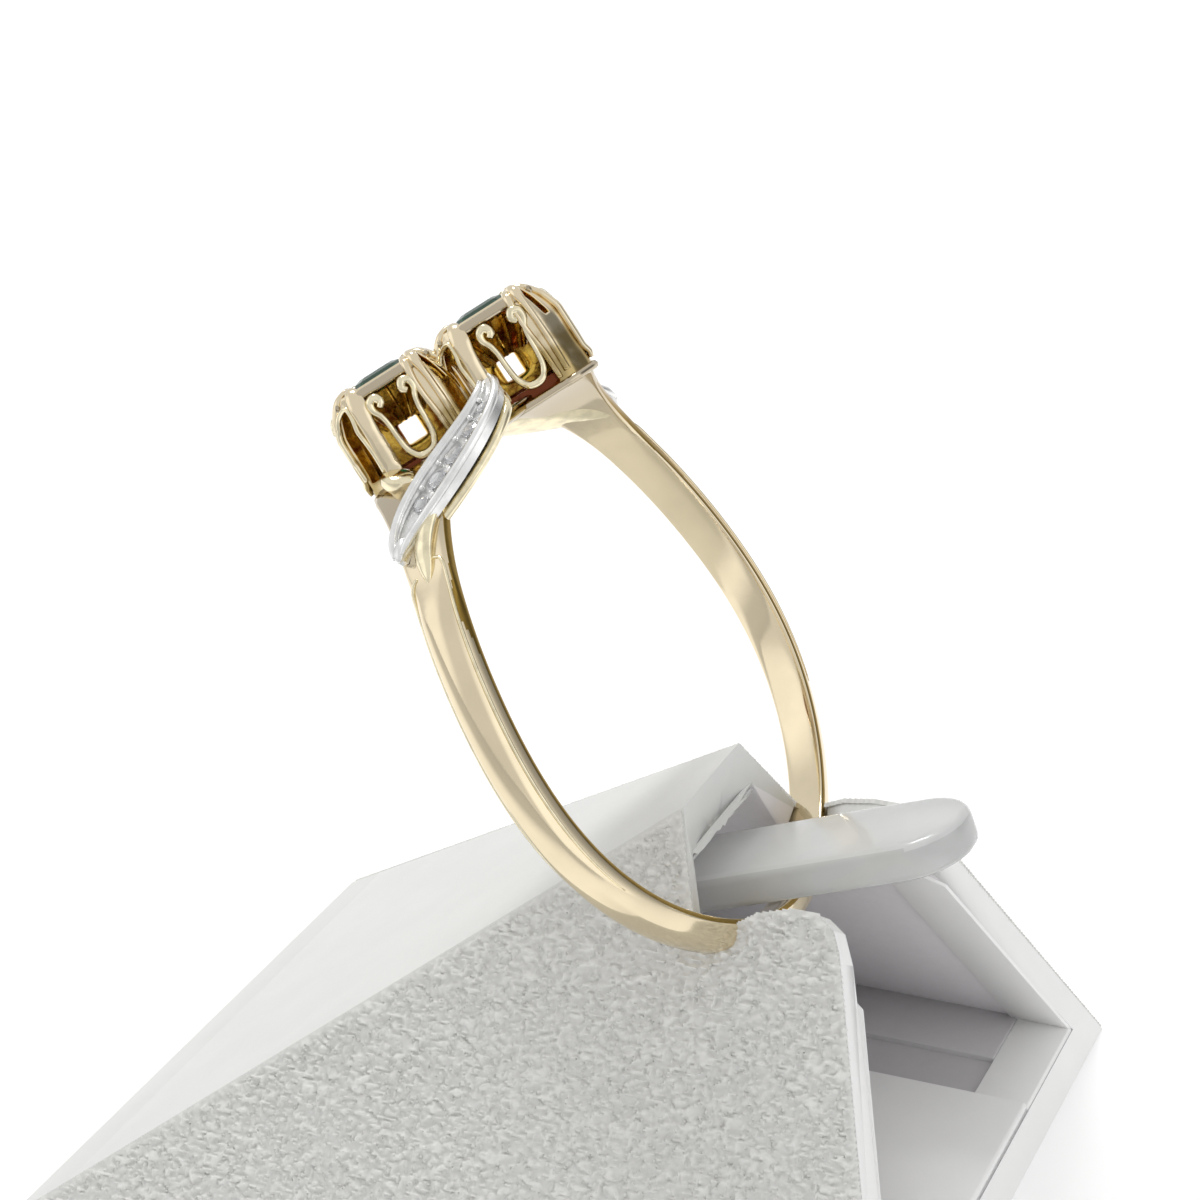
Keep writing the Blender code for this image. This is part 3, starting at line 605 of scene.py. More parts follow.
def draw_out(bm, rings, close_ends=True):
    """Extrude a loop of points from ring to ring. Each point's number is kept as its place."""
    place = bm.verts.layers.int.get("place") or bm.verts.layers.int.new("place")
    verts = [bm.verts.new(point) for point in rings[0]]
    for number, vert in enumerate(verts):
        vert[place] = number
    first = edges = [bm.edges.new((verts[i - 1], verts[i])) for i in range(len(verts))]
    for ring in rings[1:]:
        made = bmesh.ops.extrude_edge_only(bm, edges=edges)["geom"]
        for vert in only(made, bmesh.types.BMVert):
            vert.co = ring[vert[place]]
        edges = [edge for edge in only(made, bmesh.types.BMEdge) if edge.is_boundary]
    if close_ends:
        bmesh.ops.contextual_create(bm, geom=first)
        bmesh.ops.contextual_create(bm, geom=edges)


def sweep(bm, path, outs, widths, heights, count=10, closed=False):
    """A bar along a path: half widths across it, half heights along the outward directions."""
    rings = []
    for number, point in enumerate(path):
        before, after = path[max(number - 1, 0)], path[min(number + 1, len(path) - 1)]
        if closed and number in (0, len(path) - 1):
            before, after = path[-2], path[1]
        along = (after - before).normalized()
        across = along.cross(outs[number]).normalized()
        up = across.cross(along)
        across, up = across * widths[number], up * heights[number]
        rings.append([point + across * math.cos(turn) + up * math.sin(turn) for turn in full_turn(count)])
    draw_out(bm, rings, close_ends=not closed)
    if closed:
        bmesh.ops.remove_doubles(bm, verts=bm.verts, dist=WELD)


def smooth_rows(rows, steps):
    """Rows of numbers on a smooth curve through the given rows."""
    made = []
    for number in range(len(rows) - 1):
        before, start, end, after = (rows[min(max(number + k, 0), len(rows) - 1)] for k in (-1, 0, 1, 2))
        for step in range(steps):
            t = step / steps
            made.append([0.5 * (2 * b + (c - a) * t + (2 * a - 5 * b + 4 * c - d) * t * t
                                + (3 * b - a - 3 * c + d) * t ** 3)
                         for a, b, c, d in zip(before, start, end, after)])
    made.append(list(rows[-1]))
    return made


def in_metres(rows):
    return [tuple(number * MM for number in row) for row in rows]


def in_metres_pairs(pairs):
    return [tuple(Vector(point) * MM for point in pair) for pair in pairs]


def finish_piece(name, bm, finishes, replaced=(), matrix=None, sharp=math.radians(40)):
    """Turn a bmesh into a piece whose object sits at the origin and rides on the one body."""
    if matrix is not None:
        bmesh.ops.transform(bm, matrix=matrix, verts=bm.verts)
    bmesh.ops.recalc_face_normals(bm, faces=bm.faces)
    mesh = bpy.data.meshes.new(name)
    bm.to_mesh(mesh)
    bm.free()
    for finish in finishes:
        mesh.materials.append(finish)
    mesh.shade_smooth()
    if sharp is not None:
        mesh.set_sharp_from_angle(angle=sharp)
    piece = bpy.data.objects.new(name, mesh)
    bpy.context.collection.objects.link(piece)
    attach(piece, "root")
    if replaced:
        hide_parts(*replaced)
    return piece


def round_off(piece, levels):
    """Smooth a cage with a subdivision surface."""
    modifier = piece.modifiers.new("round", "SUBSURF")
    modifier.levels = levels
    modifier.render_levels = levels


def blend(value, start, end):
    """Ease from 0 at start to 1 at end."""
    part = min(max((value - start) / (end - start), 0.0), 1.0)
    return part * part * (3 - 2 * part)


def seat_matrix():
    """The ring frame in the world."""
    yaw = Matrix.Rotation(RING_YAW, 4, "Z")
    lean = Matrix.Rotation(-RING_LEAN, 4, "Y")
    roll = Matrix.Rotation(-RING_ROLL, 4, "X")
    return Matrix.Translation(RING_CENTRE) @ yaw @ lean @ roll


def half_matrix(half):
    """The frame of one half of the ring in the world: half a turn takes the left half to the right."""
    return seat_matrix() @ Matrix.Rotation(half * math.pi, 4, "Z")


# Band


def ring_point(turn, radius, side):
    """A point in the ring frame: angle from the heads towards +Y, radius, and place along the hole."""
    return Vector((side, radius * math.sin(turn), radius * math.cos(turn)))


def hole_radius(band, turn):
    radius = band.hole_radius * (1 + sum(part * math.cos(waves * turn) for waves, part in HOLE_WAVES.items()))
    if math.cos(turn) > 0.5:
        radius = min(radius, band.bridge_height / math.cos(turn))
    return radius


def band_edge(band, turn, side):
    """Place of one edge of the band: each shoulder spreads most on one side."""
    top_share = (1 + math.cos(turn)) / 2
    plain = (band.bottom_width + (band.top_width - band.bottom_width) * top_share) / 2
    wide_side = -1 if turn < 0 else 1
    bare = band.shoulder_angle if side == wide_side else 0.6 * band.shoulder_angle
    top = band.shoulder_top_angle * bare / band.shoulder_angle
    part = min(max((bare - abs(turn)) / (bare - top), 0.0), 1.0)
    return side * (plain + (band.shoulder_spread - plain) * part ** band.shoulder_curve)


def band_thickness(band, turn, across):
    """Thickness of the band at an angle, and at a share of its half width from its middle."""
    round_share = blend(abs(turn), band.shoulder_angle - band.shoulder_blend, band.shoulder_angle)
    edge = band.bridge_edge + (band.edge - band.bridge_edge) * round_share
    crown = band.bridge_edge + (band.crown - band.bridge_edge) * round_share
    return edge + (crown - edge) * (1 - abs(across) ** band.flatness)


def band_point(band, turn, across, depth=1.0):
    """A point of the band: angle, share of its half width across it, and share of its thickness."""
    low, high = band_edge(band, turn, -1), band_edge(band, turn, 1)
    radius = hole_radius(band, turn) + depth * band_thickness(band, turn, across)
    return ring_point(turn, radius, (low + high) / 2 + across * (high - low) / 2)


def place_on_band(band, vert):
    """Move a point of the plain turned ring onto the shaped band."""
    turn = math.atan2(vert.co.y, vert.co.z)
    depth = math.hypot(vert.co.y, vert.co.z) / band.hole_radius - 1.0
    vert.co = band_point(band, turn, vert.co.x, depth)


def outer_radius(band, turn):
    """Radius of the outer face at the middle of the band."""
    return hole_radius(band, turn) + band_thickness(band, turn, 0.0)


def build_band(project, finishes):
    """The band: a section spun into a plain ring, then set to the ring's shape."""
    band = project.band
    bm = bmesh.new()
    section = bmesh.ops.create_circle(bm, segments=band.across, radius=1.0)["verts"]
    power = 2 / band.squareness
    for vert in section:
        across, depth = (math.copysign(abs(term) ** power, term) for term in vert.co.xy)
        vert.co = (across, 0.0, band.hole_radius * (1.0 + 0.5 + 0.5 * depth))
    bmesh.ops.spin(bm, geom=bm.verts[:] + bm.edges[:], cent=(0, 0, 0), axis=(1, 0, 0), angle=2 * math.pi,
                   steps=band.steps, use_merge=True)
    for vert in bm.verts:
        place_on_band(band, vert)
    bm.normal_update()
    for face in bm.faces:
        centre = face.calc_center_median()
        on_shank = blend(abs(math.atan2(centre.y, centre.z)), *SHANK_ANGLES)
        looks = EDGE_LOOKS[0] + (EDGE_LOOKS[1] - EDGE_LOOKS[0]) * on_shank
        # Painted shade: the narrow side faces get a dark gold
        face.material_index = int(abs(face.normal.x) > looks)
    golds = [finishes["gold"], finishes["shaded_side_gold"]]
    return finish_piece("band", bm, golds, ["ring_body"], seat_matrix(), None)


def build_shoulder_trim(project, finishes, half):
    """The polished point below a leaf and the raised lines beside the shank's flat face."""
    band = project.band
    bm = bmesh.new()
    path, outs, widths, heights = [], [], [], []
    for degrees, side, proud, width, height in smooth_rows(SHOULDER_POINT, 6):
        turn = math.radians(degrees)
        outs.append(ring_point(turn, 1.0, 0.0))
        path.append(ring_point(turn, outer_radius(band, turn) + proud * MM, side * MM))
        widths.append(max(width, 0.01) * MM)
        heights.append(max(height, 0.01) * MM)
    sweep(bm, path, outs, widths, heights, 12)
    for rows in SHANK_FRAME:
        rows = [(math.radians(degrees), across) for degrees, across in smooth_rows(rows, 12)]
        path = [band_point(band, turn, across) for turn, across in rows]
        outs = [ring_point(turn, 1.0, 0.0) for turn, across in rows]
        count = len(path)
        sizes = [FRAME_WIRE * MM * min(1.0, 0.2 + 6 * number / count, 0.3 + 10 * (count - 1 - number) / count)
                 for number in range(count)]
        sweep(bm, path, outs, sizes, sizes, 8)
    # The near trim gets the painted highlight gold, the far one the polished gold with its painted shade
    gold = finishes["gold" if half else "bright_gold"]
    return finish_piece(SIDES[half] + "_shoulder_trim", bm, [gold], (),
                        half_matrix(half), None)


# Heads


def head_matrix(head, half):
    """A head's frame in the world: 0 is the left head and 1 the right. Both face the same way."""
    turn = Matrix.Rotation(head.turn, 4, "Z")
    return seat_matrix() @ (turn @ Matrix.Translation(((2 * half - 1) * head.offset, 0.0, 0.0)))


def head_section(head, height):
    """Half width, half length and cut corner of the basket at a share of its height."""
    for lower, upper in zip(HEAD_SECTIONS, HEAD_SECTIONS[1:]):
        if height <= upper["height"]:
            break
    part = (height - lower["height"]) / (upper["height"] - lower["height"])
    width, length_, corner = (lower[key] + (upper[key] - lower[key]) * part
                              for key in ("width", "length", "corner"))
    return width * head.half_width, length_ * head.half_length, corner * head.half_width


def corner_length(head, part):
    """Length of a cut corner at a share of the basket's height."""
    return head_section(head, part)[2] * math.sqrt(2)


def wall_point(head, side, across, height, proud=0.0):
    """A point on a basket's side. Past the side's flat part it goes on round the cut corner."""
    width, depth, corner = head_section(head, (height - head.foot) / (head.top - head.foot))
    reach, out = (width, depth) if side % 2 == 0 else (depth, width)
    flat = reach - corner
    past = max(abs(across) - flat, 0.0) * math.sqrt(0.5)
    sign = math.copysign(1.0, across)
    normal = Vector((sign * math.sqrt(0.5), -math.sqrt(0.5), 0.0)) if past else Vector((0.0, -1.0, 0.0))
    point = Vector((sign * (min(abs(across), flat) + past), past - out, height)) + normal * proud
    turn = Matrix.Rotation(side * math.pi / 2, 4, "Z")
    return turn @ point, turn @ normal


def side_flat(head, side, height):
    """Half width of the flat part of a basket's side."""
    width, depth, corner = head_section(head, (height - head.foot) / (head.top - head.foot))
    return (width if side % 2 == 0 else depth) - corner


def basket_ring(head, part):
    """Points round the basket at a share of its height: four on each side, two at each corner."""
    height = head.foot + part * (head.top - head.foot)
    windows = (head.front_window, head.side_window, head.back_window, head.side_window)
    points = []
    for side, opening in enumerate(windows):
        flat = side_flat(head, side, height)
        opening = min(opening, 0.84 * flat)
        past = corner_length(head, part)
        slit = head.corner_opening if side % 2 else head.slit
        slit = min(slit, 0.66 * past) / 2
        places = (-flat, -opening, opening, flat, flat + past / 2 - slit, flat + past / 2 + slit)
        points += [wall_point(head, side, place, height)[0] for place in places]
    return points


def open_face(face, place, heights):
    """Whether a face of the basket's cage lies in a window or in a corner's opening."""
    columns = {vert[place] for vert in face.verts}
    first = min(columns)
    if columns != {first, first + 1} or first % 6 not in (1, 4):
        return False
    low = min(vert.co.z for vert in face.verts)
    row = max(number for number, height in enumerate(heights) if low > height - 0.001 * MM)
    start, end = (WINDOW_ROWS if first % 6 == 1 else CORNER_ROWS)[first // 6]
    return start <= row < end


def build_basket(project, finishes, half):
    """The cast wall of a head, with its windows and open corners."""
    head = project.head
    bm = bmesh.new()
    draw_out(bm, [basket_ring(head, part) for part in BASKET_ROWS], close_ends=False)
    heights = [head.foot + part * (head.top - head.foot) for part in BASKET_ROWS]
    place = bm.verts.layers.int["place"]
    doomed = [face for face in bm.faces if open_face(face, place, heights)]
    bmesh.ops.delete(bm, geom=doomed, context="FACES")
    bmesh.ops.recalc_face_normals(bm, faces=bm.faces)
    # The inside faces get the cast gold, whose deeper tone and dark spots are painted shade
    golds = [finishes["head_gold"], finishes["cast_gold"]]
    basket = finish_piece(SIDES[half] + "_basket", bm, golds, ["ring_body"],
                          head_matrix(head, half), None)
    wall = basket.modifiers.new("wall", "SOLIDIFY")
    wall.thickness = head.wall
    wall.offset = -1.0
    wall.use_even_offset = True
    wall.material_offset = 1
    wall.material_offset_rim = 1
    wall.edge_crease_rim = 0.6
    wall.edge_crease_outer = 0.5
    round_off(basket, 3)
    return basket


def add_bar(bm, head, side, rows, count=10):
    """A bar on a basket's side, from rows as in WIDE_POST but in metres."""
    rows = smooth_rows(rows, 6)
    path, outs = zip(*(wall_point(head, side, *row[:3]) for row in rows))
    sweep(bm, path, outs, [row[3] for row in rows], [row[4] for row in rows], count)


def build_posts(project, finishes, half):
    """Posts that end in claws, the bezel's bars and the rail round the foot."""
    head = project.head
    bm = bmesh.new()
    for side in range(4):
        add_bar(bm, head, side, in_metres(WIDE_POST))
    first = len(bm.faces)
    for side in range(4):
        for rows in THIN_POSTS:
            add_bar(bm, head, side, in_metres(rows))
    paint(bm, first, 1)
    first = len(bm.faces)
    for side in range(4):
        reach = 0.94 * side_flat(head, side, head.bar_height)
        size = head.bar_size
        bar = [(place * reach, head.bar_height, 0.1 * size, size * thick, 0.7 * size * thick)
               for place, thick in BEZEL_BAR]
        add_bar(bm, head, side, bar)
    rail = []
    height = head.foot + 0.6 * head.rail_radius
    for side in range(4):
        flat = side_flat(head, side, height)
        past = corner_length(head, 0.0)
        places = [-flat + 2 * flat * step / 8 for step in range(9)]
        places += [flat + past * step / 4 for step in (1, 2, 3)]
        rail += [wall_point(head, side, place, height) for place in places]
    path, outs = zip(*rail, rail[0])
    sizes = [head.rail_radius] * len(path)
    sweep(bm, path, outs, sizes, sizes, 8, closed=True)
    paint(bm, first, 2)
    golds = [finishes["post_gold"], finishes["head_gold"], finishes["gold"]]
    return finish_piece(SIDES[half] + "_posts", bm, golds, (), head_matrix(head, half), None)


def build_cup(project, finishes, half):
    """The small cup at the foot of a basket's front: a lathe shape that stands level."""
    head = project.head
    foot = wall_point(head, 0, head.cup_side, head.cup_height, head.cup_reach)[0]
    centre = head_matrix(head, half) @ foot
    bm = bmesh.new()
    draw_out(bm, [[centre + Vector((math.cos(turn) * radius, math.sin(turn) * radius, height))
                   for turn in full_turn(32)] for radius, height in in_metres(CUP_PROFILE)])
    return finish_piece(SIDES[half] + "_cup", bm, [finishes["bright_gold"]])


def build_window_wires(project, finishes, half):
    """The curled wires in the windows and the arches round the open corners."""
    head = project.head
    bm = bmesh.new()
    right = in_metres([row + row[-1:] for row in LYRE])
    left = [(-row[0],) + tuple(row[1:]) for row in right]
    shift = head.lyre_shift * half
    lyre = [(row[0] + shift,) + tuple(row[1:]) for row in left[:0:-1] + right]
    for side in (0, 1, 3):
        add_bar(bm, head, side, lyre, 8)
    wire = ARCH_WIRE * MM
    for side in (1, 3):
        arch = [(side_flat(head, side, height) + past, height, proud, wire, wire)
                for past, height, proud in in_metres(CORNER_ARCH)]
        add_bar(bm, head, side, arch, 8)
    return finish_piece(SIDES[half] + "_window_wires", bm, [finishes["bright_gold"]], (),
                        head_matrix(head, half), None)


def stone_outline(stone, size, extra, height):
    """An octagon: the emerald's outline at a share of its size, grown by a little."""
    wide, deep = stone.emerald_half_width * size + extra, stone.emerald_half_length * size + extra
    corner = stone.emerald_corner * size
    pair = ((wide, deep - corner), (wide - corner, deep))
    points = []
    for x, y in ((1, 1), (-1, 1), (-1, -1), (1, -1)):
        for across, along in (pair if x == y else pair[::-1]):
            points.append(Vector((x * across, y * along, height)))
    return points


def add_rib(bm, path, outs, size):
    """A rib down the seat, from its half width and half thickness."""
    widths, heights = ([half * MM] * len(path) for half in size)
    sweep(bm, path, outs, widths, heights, 8)


def add_seat(bm, head, stone):
    """The seat's stepped wall, with a rib at each corner and three on each side."""
    girdle = head.top - stone.emerald_sink
    gap = SEAT_GAP * MM
    outer, inner = ([stone_outline(stone, size, extra, girdle - depth * MM) for size, depth in SEAT_LEVELS]
                    for extra in (gap, gap - stone.seat_wall))
    draw_out(bm, outer + inner[::-1] + outer[:1], close_ends=False)
    for number in range(8):
        path = [ring[number] for ring in outer]
        add_rib(bm, path, [Vector((point.x, point.y, 0.0)).normalized() for point in path], CORNER_RIB)
    for side in (-1, 1):
        for place in SIDE_RIB_PLACES:
            for wide, deep in ((1, 0), (0, 1)):
                path = []
                for size, depth in SEAT_LEVELS:
                    reach_x, reach_y = stone.emerald_half_width * size, stone.emerald_half_length * size
                    x = side * (reach_x + gap) if wide else place * reach_x
                    y = side * (reach_y + gap) if deep else place * reach_y
                    path.append(Vector((x, y, girdle - depth * MM)))
                add_rib(bm, path, [Vector((side * wide, side * deep, 0.0))] * len(path), SIDE_RIB)


def floor_ring(head, size, height):
    """Points round the basket's floor at a share of its size: round near the hole."""
    ring = []
    for side in range(4):
        flat = side_flat(head, side, head.foot)
        past = corner_length(head, 0.0)
        for place in (-flat, -flat / 3, flat / 3, flat, flat + past / 3, flat + 2 * past / 3):
            point = wall_point(head, side, place, head.foot, -FLOOR_INSET)[0] * (1 / head.half_width)
            point.z = 0.0
            if size < 0.5:
                point = point.normalized()
            point = Vector((point.x * size, point.y * size, 0.0)) * head.half_width
            ring.append(point + Vector((0, 0, height)))
    return ring


def build_seat(project, finishes, half):
    """The ribbed seat under an emerald, and the floor of the basket with its round hole."""
    head, stone = project.head, project.stone
    bm = bmesh.new()
    add_seat(bm, head, stone)
    first = len(bm.faces)
    low, high = head.foot + 0.02 * MM, head.foot + head.floor
    draw_out(bm, [floor_ring(head, size, height) for size, height in (
        (0.98, low), (0.98, head.recess), (0.90, head.recess), (0.90, high), (0.44, high), (0.44, low),
        (0.98, low))], close_ends=False)
    # Painted shade: the floor and its recess get the dark painted shade gold
    paint(bm, first, 1)
    bmesh.ops.remove_doubles(bm, verts=bm.verts, dist=2 * WELD)
    golds = [finishes["cast_gold"], finishes["tarnish"]]
    return finish_piece(SIDES[half] + "_stone_seat", bm, golds, (), head_matrix(head, half))


def build_emerald(project, finishes, half):
    """A step-cut stone with rows of flat facets."""
    head, stone = project.head, project.stone
    girdle = head.top - stone.emerald_sink
    bm = bmesh.new()
    draw_out(bm, [stone_outline(stone, size, 0.0, girdle + height * MM) for size, height in EMERALD_LEVELS])
    gem = finish_piece(SIDES[half] + "_step_cut", bm, [finishes["emerald"]],
                       [SIDES[half] + "_emerald"], head_matrix(head, half), None)
    gem.data.shade_flat()
    return gem


# Leaves


def leaf_place(leaf, band, part):
    """Angle, top radius and side of the leaf's middle line at a share of its length."""
    turn = leaf.start_angle + (leaf.end_angle - leaf.start_angle) * part
    side = leaf.start_side + leaf.swing * math.sin(leaf.turn * math.pi * max(part, 0.0)) ** leaf.ease
    return turn, band.hole_radius + leaf.stand + leaf.lift * part * part, side


def leaf_half_width(leaf, part):
    part = min(max(part, 0.0), 1.0)
    return leaf.tip_half_width + (leaf.half_width - leaf.tip_half_width) * math.sin(math.pi * part)


def leaf_frame(leaf, band, part):
    """Top point of the middle line, the direction across the leaf and the direction out of it."""
    ahead, behind = (ring_point(*leaf_place(leaf, band, part + step)) for step in (0.01, -0.01))
    turn, radius, side = leaf_place(leaf, band, part)
    out = ring_point(turn, 1.0, 0.0)
    return ring_point(turn, radius, side), (ahead - behind).cross(out).normalized(), out


def leaf_section(leaf, band, part):
    """The leaf's section: a channel between two round rims."""
    place, across, out = leaf_frame(leaf, band, part)
    half = leaf_half_width(leaf, part)
    rim = half * leaf.rim / leaf.half_width
    inner = half - rim
    floor = leaf.channel * math.sin(math.pi * (0.02 + 0.96 * part)) ** 0.5
    top = [(half, 0.05 * MM), (half - 0.25 * rim, 0.0), (inner + 0.25 * rim, 0.0), (inner, 0.03 * MM),
           (0.92 * inner, floor)]
    shape = [(-half, leaf.thickness), (half, leaf.thickness), *top, (0.0, floor)]
    shape += [(-x, depth) for x, depth in reversed(top)]
    return [place + across * x - out * depth for x, depth in shape]


def build_leaf(project, finishes, half):
    """The leaf's plate."""
    bm = bmesh.new()
    draw_out(bm, [leaf_section(project.leaf, project.band, part) for part in LEAF_PARTS])
    side = SIDES[half]
    return finish_piece(side + "_leaf_plate", bm, [finishes["white_gold"]], [side + "_leaf"],
                        half_matrix(half))


def build_backing(project, finishes, half):
    """The round gold strip that a leaf is soldered to."""
    leaf, band = project.leaf, project.band
    bm = bmesh.new()
    middle = leaf.thickness + 1.5 * leaf.solder_gap + leaf.backing / 2
    rings = []
    for part in LEAF_PARTS:
        place, across, out = leaf_frame(leaf, band, part)
        reach = leaf_half_width(leaf, part)
        centre = place + across * leaf.backing_offset * math.sin(math.pi * part) - out * middle
        ring = []
        for turn in full_turn(20):
            x, y = (math.copysign(abs(term) ** 0.7, term) for term in (math.cos(turn), math.sin(turn)))
            ring.append(centre + across * x * reach + out * y * leaf.backing / 2)
        rings.append(ring)
    draw_out(bm, rings)
    return finish_piece(SIDES[half] + "_backing", bm, [finishes["bright_gold"]],
                        ["ring_body"], half_matrix(half), None)


def build_rims(project, finishes, half):
    """The round rims of a leaf, fine inner lines, the closed loop at its lower tip and the grains."""
    leaf, band = project.leaf, project.band
    bm = bmesh.new()
    lines = ((0.5 * leaf.rim, leaf.rim_wire, 0.02, 0.98), (1.05 * leaf.rim, 0.45 * leaf.rim_wire, 0.13, 0.93))
    for side in (-1, 1):
        for inset, wire, start, end in lines:
            path, outs, sizes = [], [], []
            for step in LEAF_PARTS:
                part = start + (end - start) * step
                place, across, out = leaf_frame(leaf, band, part)
                half_width = leaf_half_width(leaf, part)
                reach = half_width - inset * half_width / leaf.half_width
                path.append(place + across * side * reach + out * 0.2 * wire)
                outs.append(out)
                sizes.append(wire * min(1.0, 0.45 + 2.2 * math.sin(math.pi * step)))
            sweep(bm, path, outs, sizes, [1.1 * size for size in sizes], 10)
    path, outs, widths = [], [], []
    for step in range(15):
        place, across, out = leaf_frame(leaf, band, -0.01 + 0.15 * step / 14)
        path.append(place - out * 0.02 * MM)
        outs.append(out)
        widths.append(leaf.loop * (0.12 + math.sin(math.pi * step / 14) ** 0.6))
    sweep(bm, path, outs, widths, [0.7 * width for width in widths], 14)
    past_last = 2 * STONE_PLACES[-1] - STONE_PLACES[-2]
    for first, second in zip(STONE_PLACES, STONE_PLACES[1:] + (past_last,)):
        part = (first + second) / 2
        place, across, out = leaf_frame(leaf, band, part)
        reach = 0.42 * leaf_half_width(leaf, part)
        for side in (-1, 1):
            grain = Matrix.Translation(place + across * side * reach - out * 0.02 * MM)
            bmesh.ops.create_icosphere(bm, subdivisions=2, radius=leaf.grain, matrix=grain)
    return finish_piece(SIDES[half] + "_leaf_rims", bm, [finishes["white_gold"]], (),
                        half_matrix(half), None)


def bead_places(project):
    """Points along the two rims of the leaf, a bead apart."""
    leaf, band = project.leaf, project.band
    places = []
    for side in (-1, 1):
        last = None
        for step in range(400):
            part = 0.42 + 0.54 * step / 399
            place, across, out = leaf_frame(leaf, band, part)
            reach = leaf_half_width(leaf, part) * (1 - 0.5 * leaf.rim / leaf.half_width)
            point = place + across * side * reach + out * 0.95 * leaf.rim_wire
            if last is None or (point - last).length >= leaf.bead_pitch:
                places.append(point)
                last = point
    return places


def build_beads(project, finishes, half):
    """The milgrain along a leaf's rims."""
    bm = bmesh.new()
    for place in bead_places(project):
        bmesh.ops.create_icosphere(bm, subdivisions=2, radius=project.leaf.bead_radius,
                                   matrix=Matrix.Translation(place))
    return finish_piece(SIDES[half] + "_milgrain", bm, [finishes["white_gold"]], (),
                        half_matrix(half), None)


# Stones


def stone_matrix(project, part, half):
    """A small stone's frame in the world, at a share of its leaf's length."""
    place, across, out = leaf_frame(project.leaf, project.band, part)
    axes = Matrix((across, out.cross(across), out)).transposed().to_4x4()
    return half_matrix(half) @ Matrix.Translation(place - out * project.stone.sink) @ axes


def stone_radius(project, part):
    leaf, stone = project.leaf, project.stone
    return leaf_half_width(leaf, part) * (1 - leaf.rim / leaf.half_width) * stone.spread - stone.gap


def build_brilliant(project, finishes, part, half, number):
    """A round stone cut with a table, stars, kites and a pointed pavilion."""
    stone = project.stone
    radius = stone_radius(project, part)
    levels = ((stone.table, stone.crown, 8, 0.5), (0.80, 0.6 * stone.crown, 8, 0.0), (1.0, 0.0, 16, 0.25),
              (1.0, -0.04, 16, 0.25), (0.55, -0.55 * stone.pavilion, 8, 0.0), (0.05, -stone.pavilion, 8, 0.5))
    bm = bmesh.new()
    for size, height, sides, start in levels:
        for side in range(sides):
            turn = 2 * math.pi * (side + start) / sides
            bm.verts.new(Vector((size * math.cos(turn), size * math.sin(turn), height)) * radius)
    bmesh.ops.convex_hull(bm, input=bm.verts[:])
    piece = finish_piece("%s_brilliant_%d" % (SIDES[half], number), bm, [finishes["clear_stone"]],
                         ["%s_diamond_%d" % (SIDES[half], number)], stone_matrix(project, part, half))
    piece.data.shade_flat()
    return piece


# Stand


def on_back(face):
    """Whether a face is part of the cut edge round the open back."""
    centre = face.calc_center_median()
    return face.normal.x > 0.5 and centre.x > BACK_FOOT - BACK_LEAN * centre.z - 0.3 * MM


def in_lining(stand, face):
    """Whether a face of the shell is on the inside, behind the open back."""
    centre, normal = face.calc_center_median(), face.normal
    if centre.z > 11.5 * MM or on_back(face):
        return False
    inward = abs(centre.y) < stand.half_width - stand.lean * centre.z - 0.5 * stand.wall
    floor = normal.z > 0.9 and centre.z < 2 * MM
    wall = (normal.x > 0.1 or abs(normal.y) > 0.3) and not (normal.z > 0.3 and centre.z > 3 * MM)
    return inward and (floor or wall)


def is_fold(edge):
    """Whether the covering folds over an edge: a long bent one outside, and not at the glued joint."""
    return (edge.calc_length() > 2.4 * MM and len(edge.link_faces) == 2
            and edge.calc_face_angle(0.0) > math.radians(12)
            and max(abs(vert.co.z - FLOOR_TOP * MM) for vert in edge.verts) > 0.01 * MM
            and all(face.material_index in (0, 2) for face in edge.link_faces))


def build_cover(project, finishes):
    """The stand's smooth covering, folded round the edges of the board, and its grey lining."""
    stand = project.stand
    bm = bmesh.new()
    for node in ("stand_base", "stand_shell"):
        bm.from_mesh(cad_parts[node].data)
    bmesh.ops.remove_doubles(bm, verts=bm.verts, dist=WELD)
    drop = SHELL_FOOT * MM - 0.999 * FLOOR_TOP * MM
    for vert in bm.verts:
        if abs(vert.co.z - SHELL_FOOT * MM) < 0.01 * MM:
            lean = BACK_LEAN if vert.co.x > 0 else FRONT_LEAN
            slope = Vector((math.copysign(lean, vert.co.x), math.copysign(stand.lean, vert.co.y), -1.0))
            vert.co += slope * drop
        side = math.copysign(1.0, vert.co.y)
        for old, new in in_metres_pairs(NOTCH_CORNERS):
            if (Vector((vert.co.x, abs(vert.co.y), vert.co.z)) - old).length < 0.05 * MM:
                vert.co = Vector((new.x, side * new.y, new.z))
                break
    bmesh.ops.remove_doubles(bm, verts=bm.verts, dist=WELD)
    bmesh.ops.dissolve_limit(bm, angle_limit=math.radians(1), verts=bm.verts, edges=bm.edges)
    for face in bm.faces:
        face.material_index = 2 if on_back(face) else 0
        if in_lining(stand, face):
            face.material_index = 3 if face.normal.z > 0.9 else 1
    folds = [edge for edge in bm.edges if is_fold(edge)]
    bevel_edges(bm, folds, stand.fold, 3)
    # The cut edge and lining finishes carry painted light
    covers = [finishes[name] for name in ("smooth_cover", "board", "cut_edge", "floor_board")]
    return finish_piece("stand_cover", bm, covers, ["stand_shell", "stand_base"])


def inside_outline(outline, x, z):
    """Whether a point lies inside a closed outline."""
    inside = False
    for (x1, z1), (x2, z2) in zip(outline, outline[1:] + outline[:1]):
        if (z1 > z) != (z2 > z) and x < (x2 - x1) * (z - z1) / (z2 - z1) + x1:
            inside = not inside
    return inside


